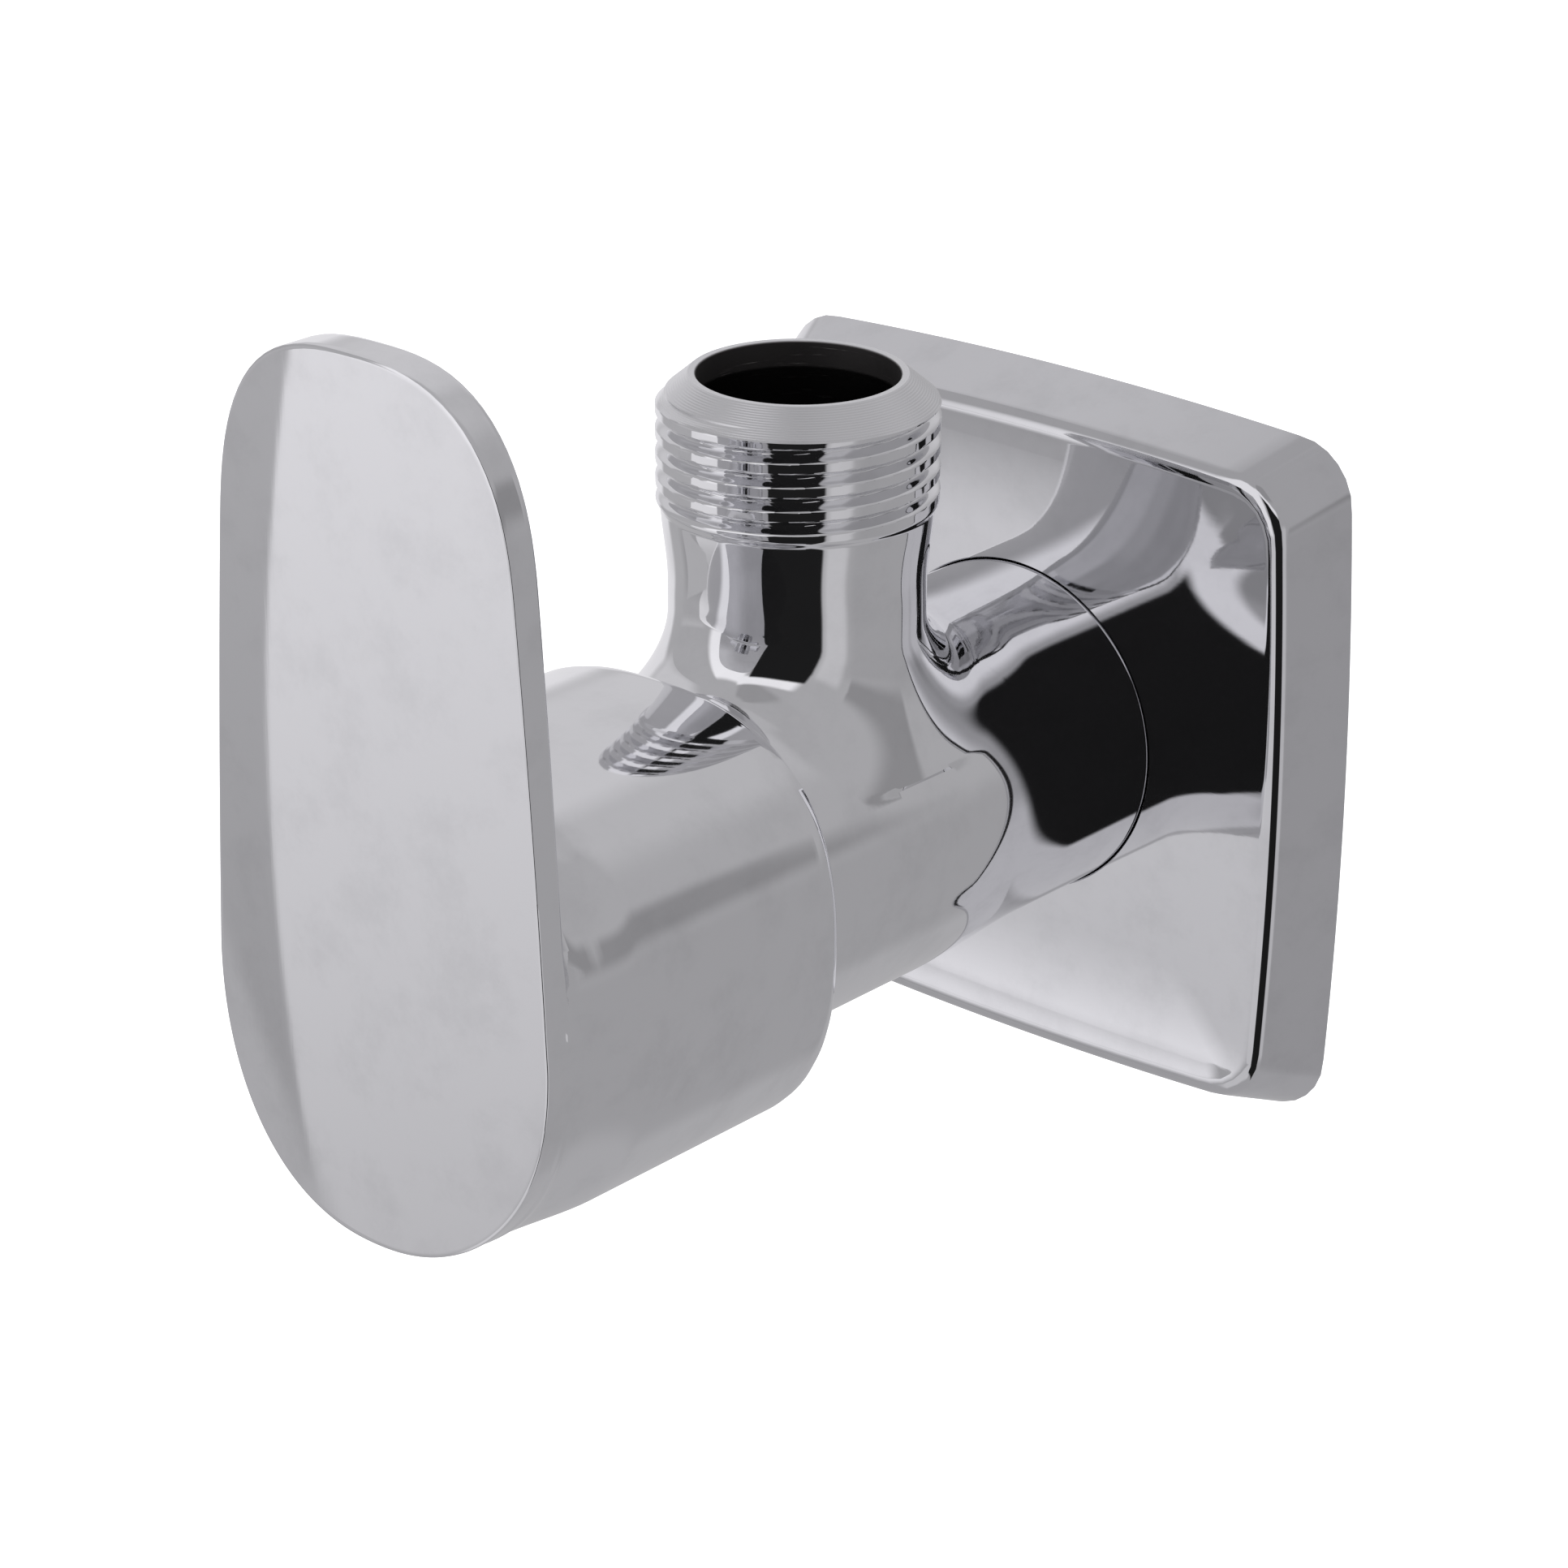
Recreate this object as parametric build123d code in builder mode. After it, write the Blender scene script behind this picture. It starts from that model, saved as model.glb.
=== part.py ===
from build123d import *
import os
from math import copysign, cos, radians, sin, tan

# Angle stop valve, G 1/2 inlet by G 1/2 outlet, with a quarter-turn ceramic headwork,
# a lever handle and a sliding square wall flange.
#
# Frame, in millimetres: the wall is the plane y = 0 and the valve stands in front of it,
# towards -Y. The barrel's axis is the Y axis, the inlet spigot runs into the wall along +Y,
# and the outlet points up along +Z. Names that end in _OUT are distances out from the wall,
# so a plane at such a distance d is at y = -d. Names that end in _R are radii.

os.makedirs("parts", exist_ok=True)

# ---------------------------------------------------------------- driving dimensions
# Pipe thread G 1/2, its grooves drawn as rings with the crests left full
THREAD_R = 20.955 / 2
THREAD_PITCH = 1.814
THREAD_DEPTH = 0.95
THREAD_LAND = 0.72
THREAD_HALF_ANGLE = 27.5

# Barrel and inlet spigot
SPIGOT_LENGTH = 14.6
SPIGOT_CHAMFER = 1.1
INLET_GROOVES = 8
INLET_BORE_R = 6.0
SHOULDER_OUT = 2.4
BARREL_REAR_R = 13.5
BARREL_FRONT_R = 14.1
BARREL_TAPER_OUT = 15.5
BARREL_FRONT_OUT = 49.0

# Outlet
OUTLET_OUT = 31.4
OUTLET_HEIGHT = 35.4
OUTLET_GROOVES = 4
OUTLET_BORE_R = 7.5
OUTLET_BORE_DEPTH = 20.0
OUTLET_PASSAGE_R = 5.0
SEAT_LAND = 0.6
MOUTH_CONE_DEPTH = 1.85
MOUTH_RELIEF = 0.18
NECK_TOP_R = 10.15
NECK_WAIST_R = 9.55
NECK_WAIST_DROP = 5.5
NECK_FILLET = 4.5

# Wall flange
FLANGE_HALF = 28.4
FLANGE_BOW = 1.0
FLANGE_CORNER_R = 3.2
FLANGE_DRAFT = 2.3
FLANGE_DEPTH = 6.0
FLANGE_DISH_R = 650.0
FLANGE_DISH = 0.52
FLANGE_EDGE_R = 0.8
FLANGE_WALL = 1.8
COLLAR_WALL = 1.7
COLLAR_OUT = 1.0
FLANGE_CLEARANCE = 0.2
FLANGE_STOCK = 3.0

# Grip ring between barrel and flange
GRIP_RING_SECTION = 1.5
GRIP_GROOVE_OUT = 2.9
GRIP_GROOVE_WIDTH = 1.8
GRIP_GROOVE_DEPTH = 1.36
RING_LIFT = 0.02

# Headwork, from the seat forward
SEAT_OUT = 17.0
CHAMBER_R = 9.3
SLEEVE_CLEARANCE = 0.2
SLEEVE_WALL = 1.1
SEAL_THICKNESS = 2.4
SEAL_STANDOUT = 0.9
SEAL_WALL = 2.6
BACKING_WALL = 0.7
BACKING_SETBACK = 0.4
FIXED_DISC_THICKNESS = 3.0
MOVING_DISC_THICKNESS = 3.2
DISC_GAP = 0.02
DISC_CLEARANCE = 0.1
PORT_ANGLE = 80.0
PORT_INNER_R = 2.8
PORT_RIM = 1.9
DRIVE_SLOT_WIDTH = 4.2
DRIVE_SLOT_DEPTH = 1.4
DRIVE_CLEARANCE = 0.1
DRIVE_BAR_INSET = 1.4
STEM_GAP = 2.9
WINDOW_GAP = 0.6
WINDOW_LENGTH = 5.0
WINDOW_WIDTH = 9.0
COLLAR_GAP = 1.5
STOP_COLLAR_LENGTH = 3.4
STOP_LUG_HEIGHT = 1.3
STOP_LUG_CLEARANCE = 0.3
STOP_RIB_ANGLE = 30.0
STOP_RIB_ROOT = 0.4
STOP_GAP_ANGLE = 1.0
HANDLE_TRAVEL = 90.0
THRUST_THICKNESS = 0.9
HEAD_THREAD_STEP = 1.0
HEAD_THREAD_DEPTH = 0.8
HEAD_THREAD_LEAD = 1.4
HEAD_GROOVES = 4
HEAD_THREAD_CLEARANCE = 0.1
HEAD_SEAL_THICKNESS = 1.0
HEAD_SEAL_INNER_GAP = 0.6
HEAD_SEAL_OUTER_GAP = 0.2
HEAD_FLANGE_INSET = 0.5
HEAD_FLANGE_THICKNESS = 1.5
HEX_ACROSS_FLATS = 24.0
HEX_LENGTH = 4.5
TURRET_R = 8.0
TURRET_LENGTH = 2.0

# Spindle
SPINDLE_R = 4.95
SPINDLE_CLEARANCE = 0.05
STEM_R = 4.0
O_RING_SECTION = 1.35
O_RING_GROOVE_WIDTH = 1.9
O_RING_SETBACKS = (8.0, 3.0)
SLIP_WASHER_THICKNESS = 0.5
SLIP_WASHER_INSET = 0.8
CIRCLIP_THICKNESS = 0.8
CIRCLIP_DEPTH = 0.75
CIRCLIP_R = 6.6
CIRCLIP_OPENING = 5.0
SPLINE_TEETH = 20
SPLINE_R = 3.95
SPLINE_DEPTH = 0.4
SPLINE_LENGTH = 9.2
SPLINE_LEAD = 0.6
SPLINE_CLEARANCE = 0.05

# Handle
HANDLE_REACH = 27.65
KNOB_OVERLAP = 3.0
KNOB_HALF_WIDTH = 17.3
KNOB_TOP = 16.0
KNOB_BOTTOM = 17.8
KNOB_SQUARENESS = 2.3
KNOB_REAR_ROUND = 1.3
KNOB_FRONT_ROUND = 1.4
KNOB_CLEARANCE = 0.3
BLADE_HALF_WIDTH = 16.05
BLADE_TAPER = 0.045
BLADE_CURVE = 0.00055
BLADE_TOP = 47.6
BLADE_CAP = 15.0
BLADE_CAP_SQUARENESS = 2.75
BLADE_BOTTOM = 18.1
BLADE_BOTTOM_SQUARENESS = 2.2
BLADE_THICKNESS = 2.4
BLADE_CROWN_R = 115.0
BLADE_EDGE_R = 0.7
POST_WALL = 2.8
CAVITY_LEAD = 0.6
INSERT_WALL = 2.2
INSERT_SETBACK = 0.4
INSERT_LEAD = 0.2
SCREW_R = 2.5
SCREW_LENGTH = 9.0
SCREW_POINT_R = 1.5
SCREW_POINT_LENGTH = 2.2
SCREW_SOCKET = 2.5
SCREW_SOCKET_DEPTH = 2.4
SCREW_CLEARANCE = 0.1
SCREW_NECK_DEPTH = 0.4
SCREW_NECK_PLAY = 0.4
SCREW_BOSS_R = 4.5
SCREW_BOSS_ROOT = 0.5

# How far a cutting form runs past the surface that it cuts
CUT_OVER = 1.0

# ---------------------------------------------------------------- derived places
OUTLET_AXIS = Axis((0, -OUTLET_OUT, 0), (0, 0, 1))
SLEEVE_R = CHAMBER_R - SLEEVE_CLEARANCE
SLEEVE_BORE_R = SLEEVE_R - SLEEVE_WALL
SLEEVE_REAR_OUT = SEAT_OUT + SEAL_STANDOUT
FIXED_DISC_OUT = SEAT_OUT + SEAL_THICKNESS
MOVING_DISC_OUT = FIXED_DISC_OUT + FIXED_DISC_THICKNESS + DISC_GAP
MOVING_DISC_FRONT_OUT = MOVING_DISC_OUT + MOVING_DISC_THICKNESS
DISC_R = SLEEVE_BORE_R - DISC_CLEARANCE
PORT_OUTER_R = DISC_R - PORT_RIM
STOP_COLLAR_OUT = MOVING_DISC_FRONT_OUT + WINDOW_LENGTH + COLLAR_GAP
THRUST_OUT = STOP_COLLAR_OUT + STOP_COLLAR_LENGTH
SLEEVE_SHOULDER_OUT = THRUST_OUT + THRUST_THICKNESS + SPINDLE_CLEARANCE
STOP_LUG_R = SLEEVE_BORE_R - STOP_LUG_CLEARANCE
STOP_COLLAR_R = STOP_LUG_R - STOP_LUG_HEIGHT
STOP_LUG_ANGLE = 180.0 - HANDLE_TRAVEL - STOP_RIB_ANGLE - 2 * STOP_GAP_ANGLE
SPINDLE_BORE_R = SPINDLE_R + SPINDLE_CLEARANCE
HEAD_THREAD_R = CHAMBER_R + HEAD_THREAD_STEP
HEAD_FLANGE_R = BARREL_FRONT_R - HEAD_FLANGE_INSET
HEAD_FLANGE_OUT = BARREL_FRONT_OUT + HEAD_SEAL_THICKNESS
O_RING_OUTS = [HEAD_FLANGE_OUT - setback for setback in O_RING_SETBACKS]
HEX_OUT = HEAD_FLANGE_OUT + HEAD_FLANGE_THICKNESS
TURRET_OUT = HEX_OUT + HEX_LENGTH
TURRET_FRONT_OUT = TURRET_OUT + TURRET_LENGTH
SLIP_WASHER_OUT = TURRET_FRONT_OUT + SPINDLE_CLEARANCE
CIRCLIP_OUT = SLIP_WASHER_OUT + SLIP_WASHER_THICKNESS + SPINDLE_CLEARANCE
SPLINE_OUT = CIRCLIP_OUT + CIRCLIP_THICKNESS + SPLINE_LEAD
SPLINE_FRONT_OUT = SPLINE_OUT + SPLINE_LENGTH
INSERT_OUT = SPLINE_OUT + INSERT_SETBACK
INSERT_FRONT_OUT = SPLINE_FRONT_OUT + INSERT_LEAD
INSERT_R = SPLINE_R + INSERT_WALL
POST_R = INSERT_R + POST_WALL
SCREW_OUT = (SPLINE_OUT + SPLINE_FRONT_OUT) / 2
SCREW_NECK_R = SPLINE_R - SPLINE_DEPTH - SCREW_NECK_DEPTH
SCREW_NECK_WIDTH = 2 * SCREW_POINT_R + SCREW_NECK_PLAY
KNOB_REAR_OUT = BARREL_FRONT_OUT - KNOB_OVERLAP
BLADE_FACE_OUT = BARREL_FRONT_OUT + HANDLE_REACH
BLADE_BACK_OUT = BLADE_FACE_OUT - BLADE_HALF_WIDTH ** 2 / (2 * BLADE_CROWN_R) - BLADE_THICKNESS
KNOB_FRONT_OUT = BLADE_BACK_OUT + KNOB_FRONT_ROUND
KNOB_CAVITY_R = BARREL_FRONT_R + KNOB_CLEARANCE
FLANGE_HOLE_R = BARREL_REAR_R + FLANGE_CLEARANCE


# ---------------------------------------------------------------- helpers
def out(distance):
    """Plane parallel to the wall and a distance out from it, facing the user."""
    return Plane.XZ.offset(distance)


def turned(points):
    """Outline for a revolve about Y, from pairs of radius and distance out."""
    return [(radius, -distance) for radius, distance in points]


def thread_outline(crest, depth, start, grooves, step):
    """Pairs of radius and position along a ringed thread, from one end land to the other."""
    flank = depth * tan(radians(THREAD_HALF_ANGLE))
    points = []
    for turn in range(grooves):
        land = start + step * turn * THREAD_PITCH
        points.append((crest, land))
        points.append((crest, land + step * THREAD_LAND))
        points.append((crest - depth, land + step * (THREAD_LAND + flank)))
        points.append((crest - depth, land + step * (THREAD_PITCH - flank)))
    last = start + step * grooves * THREAD_PITCH
    return points + [(crest, last), (crest, last + step * THREAD_LAND)]


def signed_power(value, power):
    """A power of the size of a value, with the value's sign."""
    return copysign(abs(value) ** power, value)


def knob_outline():
    """Points round the knob's section, a superellipse that is lower above than below."""
    points = []
    for step in range(24):
        angle = radians(15 * step)
        height = KNOB_TOP if sin(angle) > 0 else KNOB_BOTTOM
        across = KNOB_HALF_WIDTH * signed_power(cos(angle), 2 / KNOB_SQUARENESS)
        points.append((across, height * signed_power(sin(angle), 2 / KNOB_SQUARENESS)))
    return points


def blade_side(height):
    """Half width of the blade's long side at a height, before its ends round off."""
    rise = max(height, 0)
    return BLADE_HALF_WIDTH - BLADE_TAPER * rise - BLADE_CURVE * rise ** 2


def blade_outline():
    """Points round the blade: tapering sides, a flat round top and a rounder bottom."""
    cap_base = BLADE_TOP - BLADE_CAP
    right = []
    for step in range(6):
        angle = radians(-90 + 15 * step)
        across = BLADE_HALF_WIDTH * abs(cos(angle)) ** (2 / BLADE_BOTTOM_SQUARENESS)
        height = BLADE_BOTTOM * signed_power(sin(angle), 2 / BLADE_BOTTOM_SQUARENESS)
        right.append((across, height))
    for height in (0, cap_base / 3, cap_base * 2 / 3, cap_base):
        right.append((blade_side(height), height))
    for step in range(1, 6):
        angle = radians(15 * step)
        height = cap_base + BLADE_CAP * sin(angle) ** (2 / BLADE_CAP_SQUARENESS)
        right.append((blade_side(height) * cos(angle) ** (2 / BLADE_CAP_SQUARENESS), height))
    left = [(-across, height) for across, height in reversed(right[1:])]
    return right + [(0, BLADE_TOP)] + left


def spline_outline(clearance):
    """Corners of the toothed section, grown by a clearance."""
    points = []
    for tooth in range(SPLINE_TEETH):
        for share, radius in ((0.0, SPLINE_R), (0.25, SPLINE_R), (0.5, SPLINE_R - SPLINE_DEPTH),
                              (0.75, SPLINE_R - SPLINE_DEPTH)):
            angle = radians(360 * (tooth + share) / SPLINE_TEETH)
            grown = radius + clearance
            points.append((grown * cos(angle), grown * sin(angle)))
    return points


def bowed_square(half, corner_r):
    """Square with gently bowed sides and rounded corners, from its half size at mid side."""
    corner = half - FLANGE_BOW
    with BuildSketch() as square:
        with BuildLine():
            ThreePointArc((-corner, corner), (0, half), (corner, corner))
            ThreePointArc((corner, corner), (half, 0), (corner, -corner))
            ThreePointArc((corner, -corner), (0, -half), (-corner, -corner))
            ThreePointArc((-corner, -corner), (-half, 0), (-corner, corner))
        make_face()
        fillet(square.vertices(), corner_r)
    return square.sketch


def ring(inner, outer, start, length):
    """Plain ring about the barrel's axis, from a distance out and with a length."""
    with BuildPart() as piece:
        with BuildSketch(out(start)):
            Circle(outer)
            Circle(inner, mode=Mode.SUBTRACT)
        extrude(amount=length)
    return piece


def round_ring(inner, section, start):
    """O-ring about the barrel's axis, of a section's diameter, from a distance out."""
    with BuildPart() as piece:
        with BuildSketch(Plane.XY):
            with Locations((inner + section / 2, -(start + section / 2))):
                Circle(section / 2)
        revolve(axis=Axis.Y)
    return piece


# ---------------------------------------------------------------- valve body
outlet_thread_top = OUTLET_HEIGHT - MOUTH_CONE_DEPTH
outlet_thread = thread_outline(THREAD_R, THREAD_DEPTH, outlet_thread_top, OUTLET_GROOVES, -1)
outlet_thread_end = outlet_thread[-1][1]
waist_height = outlet_thread_end - NECK_WAIST_DROP
inlet_thread_end = SPIGOT_CHAMFER - SPIGOT_LENGTH
inlet_thread = thread_outline(THREAD_R, THREAD_DEPTH, inlet_thread_end, INLET_GROOVES, 1)
head_thread_out = BARREL_FRONT_OUT - HEAD_THREAD_LEAD
head_thread = thread_outline(HEAD_THREAD_R, HEAD_THREAD_DEPTH, head_thread_out, HEAD_GROOVES, -1)
head_thread_rear_out = head_thread[-1][1]
socket_thread = [(radius + HEAD_THREAD_CLEARANCE, distance) for radius, distance in head_thread]
grip_floor_r = BARREL_REAR_R - GRIP_GROOVE_DEPTH

with BuildPart() as valve_body:
    # Barrel and threaded inlet spigot, turned about Y
    with BuildSketch(Plane.XY):
        barrel = [(0, -SPIGOT_LENGTH), (THREAD_R - SPIGOT_CHAMFER, -SPIGOT_LENGTH)]
        barrel += inlet_thread
        barrel += [(THREAD_R - THREAD_DEPTH, inlet_thread[-1][1]),
                   (THREAD_R - THREAD_DEPTH, SHOULDER_OUT),
                   (BARREL_REAR_R, SHOULDER_OUT),
                   (BARREL_REAR_R, BARREL_TAPER_OUT),
                   (BARREL_FRONT_R, KNOB_REAR_OUT),
                   (BARREL_FRONT_R, BARREL_FRONT_OUT),
                   (0, BARREL_FRONT_OUT)]
        Polygon(*turned(barrel), align=None)
    revolve(axis=Axis.Y)
    # Outlet neck, turned about its own axis and blended into the barrel
    with BuildSketch(out(OUTLET_OUT)):
        neck = [(0, 0), (NECK_WAIST_R, 0), (NECK_WAIST_R, waist_height),
                (NECK_TOP_R, outlet_thread_end), (THREAD_R, outlet_thread_end)]
        neck += outlet_thread[-2::-1]
        neck += [(THREAD_R - MOUTH_RELIEF, outlet_thread_top),
                 (OUTLET_BORE_R + SEAT_LAND, OUTLET_HEIGHT), (0, OUTLET_HEIGHT)]
        Polygon(*neck, align=None)
    revolve(axis=OUTLET_AXIS)
    crotch = valve_body.edges().filter_by(GeomType.BSPLINE)
    fillet(crotch, NECK_FILLET)
    # Grip ring groove behind the flange's collar
    with BuildSketch(Plane.XY):
        Polygon(*turned([(grip_floor_r, GRIP_GROOVE_OUT),
                         (BARREL_REAR_R + CUT_OVER, GRIP_GROOVE_OUT),
                         (BARREL_REAR_R + CUT_OVER, GRIP_GROOVE_OUT + GRIP_GROOVE_WIDTH),
                         (grip_floor_r, GRIP_GROOVE_OUT + GRIP_GROOVE_WIDTH)]), align=None)
    revolve(axis=Axis.Y, mode=Mode.SUBTRACT)
    # Inlet bore, seat, chamber and headwork thread
    with BuildSketch(Plane.XY):
        cavity = [(0, -SPIGOT_LENGTH), (INLET_BORE_R, -SPIGOT_LENGTH), (INLET_BORE_R, SEAT_OUT),
                  (CHAMBER_R, SEAT_OUT), (CHAMBER_R, head_thread_rear_out)]
        cavity += socket_thread[::-1]
        cavity += [(HEAD_THREAD_R + HEAD_THREAD_CLEARANCE, BARREL_FRONT_OUT), (0, BARREL_FRONT_OUT)]
        Polygon(*turned(cavity), align=None)
    revolve(axis=Axis.Y, mode=Mode.SUBTRACT)
    # Outlet bore and the passage down to the chamber
    with BuildSketch(out(OUTLET_OUT)):
        bore_floor = OUTLET_HEIGHT - OUTLET_BORE_DEPTH
        Polygon((0, 0), (OUTLET_PASSAGE_R, 0), (OUTLET_PASSAGE_R, bore_floor),
                (OUTLET_BORE_R, bore_floor), (OUTLET_BORE_R, OUTLET_HEIGHT), (0, OUTLET_HEIGHT),
                align=None)
    revolve(axis=OUTLET_AXIS, mode=Mode.SUBTRACT)

# ---------------------------------------------------------------- wall flange
flange_blank_depth = FLANGE_DEPTH + FLANGE_STOCK
flange_slope = FLANGE_DRAFT / FLANGE_DEPTH
with BuildPart() as flange_blank:
    with BuildSketch(out(0)):
        add(bowed_square(FLANGE_HALF, FLANGE_CORNER_R))
    with BuildSketch(out(flange_blank_depth)):
        add(bowed_square(FLANGE_HALF - flange_slope * flange_blank_depth, FLANGE_CORNER_R))
    loft(ruled=True)
    # Shallow dished face
    face_centre_out = FLANGE_DEPTH - FLANGE_DISH
    with Locations((0, -(face_centre_out + FLANGE_DISH_R), 0)):
        Sphere(FLANGE_DISH_R, mode=Mode.SUBTRACT)
    fillet(flange_blank.faces().filter_by(GeomType.SPHERE).edges(), FLANGE_EDGE_R)

with BuildPart() as flange_hollow:
    hollow_depth = face_centre_out - FLANGE_WALL
    hollow_corner_r = FLANGE_CORNER_R - FLANGE_WALL
    with BuildSketch(out(0)):
        add(bowed_square(FLANGE_HALF - FLANGE_WALL, hollow_corner_r))
    with BuildSketch(out(hollow_depth)):
        add(bowed_square(FLANGE_HALF - FLANGE_WALL - flange_slope * hollow_depth, hollow_corner_r))
    loft(ruled=True)
    with BuildSketch(out(COLLAR_OUT)):
        Circle(FLANGE_HOLE_R + COLLAR_WALL)
    extrude(amount=hollow_depth, mode=Mode.SUBTRACT)

with BuildPart() as wall_flange:
    add(flange_blank.part)
    add(flange_hollow.part, mode=Mode.SUBTRACT)
    with BuildSketch(out(0)):
        Circle(FLANGE_HOLE_R)
    extrude(amount=flange_blank_depth, mode=Mode.SUBTRACT)

flange_grip_ring = round_ring(grip_floor_r + RING_LIFT, GRIP_RING_SECTION,
                              GRIP_GROOVE_OUT + (GRIP_GROOVE_WIDTH - GRIP_RING_SECTION) / 2)

# ---------------------------------------------------------------- headwork
hex_corner_r = HEX_ACROSS_FLATS / 2 / cos(radians(30))
window_out = MOVING_DISC_FRONT_OUT + WINDOW_GAP
with BuildPart() as cartridge_housing:
    with BuildSketch(Plane.XY):
        shank_r = HEAD_THREAD_R - HEAD_THREAD_DEPTH
        housing = [(0, SLEEVE_REAR_OUT), (SLEEVE_R, SLEEVE_REAR_OUT),
                   (SLEEVE_R, head_thread_rear_out)]
        housing += head_thread[::-1]
        housing += [(shank_r, head_thread_out), (shank_r, HEAD_FLANGE_OUT),
                    (HEAD_FLANGE_R, HEAD_FLANGE_OUT), (HEAD_FLANGE_R, HEX_OUT),
                    (TURRET_R, HEX_OUT), (TURRET_R, TURRET_FRONT_OUT), (0, TURRET_FRONT_OUT)]
        Polygon(*turned(housing), align=None)
    revolve(axis=Axis.Y)
    with BuildSketch(out(HEX_OUT)):
        RegularPolygon(hex_corner_r, 6)
    extrude(amount=HEX_LENGTH)
    with BuildSketch(Plane.XY):
        Polygon(*turned([(0, SLEEVE_REAR_OUT), (SLEEVE_BORE_R, SLEEVE_REAR_OUT),
                         (SLEEVE_BORE_R, SLEEVE_SHOULDER_OUT),
                         (SPINDLE_BORE_R, SLEEVE_SHOULDER_OUT),
                         (SPINDLE_BORE_R, TURRET_FRONT_OUT), (0, TURRET_FRONT_OUT)]), align=None)
    revolve(axis=Axis.Y, mode=Mode.SUBTRACT)
    # Water windows above and below
    with BuildSketch(Plane.XY):
        with Locations((0, -(window_out + WINDOW_LENGTH / 2))):
            Rectangle(WINDOW_WIDTH, WINDOW_LENGTH)
    extrude(amount=SLEEVE_R + CUT_OVER, both=True, mode=Mode.SUBTRACT)
    # Two ribs that stop the spindle's lugs at open and at closed
    for middle in (0, 180):
        with BuildSketch(out(STOP_COLLAR_OUT)):
            with BuildLine():
                inner = CenterArc((0, 0), STOP_COLLAR_R + STOP_LUG_CLEARANCE,
                                  middle - STOP_RIB_ANGLE / 2, STOP_RIB_ANGLE)
                outer = CenterArc((0, 0), SLEEVE_BORE_R + STOP_RIB_ROOT,
                                  middle - STOP_RIB_ANGLE / 2, STOP_RIB_ANGLE)
                Line(inner @ 0, outer @ 0)
                Line(inner @ 1, outer @ 1)
            make_face()
        extrude(amount=STOP_COLLAR_LENGTH)

housing_seal = ring(HEAD_THREAD_R + HEAD_SEAL_INNER_GAP, HEAD_FLANGE_R - HEAD_SEAL_OUTER_GAP,
                    BARREL_FRONT_OUT, HEAD_SEAL_THICKNESS)
seat_seal = ring(DISC_R - SEAL_WALL, DISC_R, SEAT_OUT, SEAL_THICKNESS)
seal_backing_ring = ring(DISC_R - SEAL_WALL - BACKING_WALL, DISC_R - SEAL_WALL,
                         SEAT_OUT + BACKING_SETBACK, SEAL_THICKNESS - BACKING_SETBACK)

with BuildPart() as fixed_disc:
    with BuildSketch(out(FIXED_DISC_OUT)):
        Circle(DISC_R)
    extrude(amount=FIXED_DISC_THICKNESS)
    for middle in (90, 270):
        with BuildSketch(out(FIXED_DISC_OUT)):
            with BuildLine():
                inner = CenterArc((0, 0), PORT_INNER_R, middle - PORT_ANGLE / 2, PORT_ANGLE)
                outer = CenterArc((0, 0), PORT_OUTER_R, middle - PORT_ANGLE / 2, PORT_ANGLE)
                Line(inner @ 0, outer @ 0)
                Line(inner @ 1, outer @ 1)
            make_face()
        extrude(amount=FIXED_DISC_THICKNESS, mode=Mode.SUBTRACT)

with BuildPart() as moving_disc:
    with BuildSketch(out(MOVING_DISC_OUT)):
        Circle(DISC_R - 2 * DISC_CLEARANCE)
    extrude(amount=MOVING_DISC_THICKNESS)
    for middle in (90, 270):
        with BuildSketch(out(MOVING_DISC_OUT)):
            with BuildLine():
                inner = CenterArc((0, 0), PORT_INNER_R, middle - PORT_ANGLE / 2, PORT_ANGLE)
                outer = CenterArc((0, 0), PORT_OUTER_R, middle - PORT_ANGLE / 2, PORT_ANGLE)
                Line(inner @ 0, outer @ 0)
                Line(inner @ 1, outer @ 1)
            make_face()
        extrude(amount=MOVING_DISC_THICKNESS, mode=Mode.SUBTRACT)
    with BuildSketch(out(MOVING_DISC_FRONT_OUT - DRIVE_SLOT_DEPTH)):
        Rectangle(2 * DISC_R, DRIVE_SLOT_WIDTH)
    extrude(amount=DRIVE_SLOT_DEPTH, mode=Mode.SUBTRACT)

thrust_washer = ring(SPINDLE_BORE_R, DISC_R, THRUST_OUT, THRUST_THICKNESS)
slip_washer = ring(SPINDLE_BORE_R, TURRET_R - SLIP_WASHER_INSET, SLIP_WASHER_OUT, SLIP_WASHER_THICKNESS)

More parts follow.
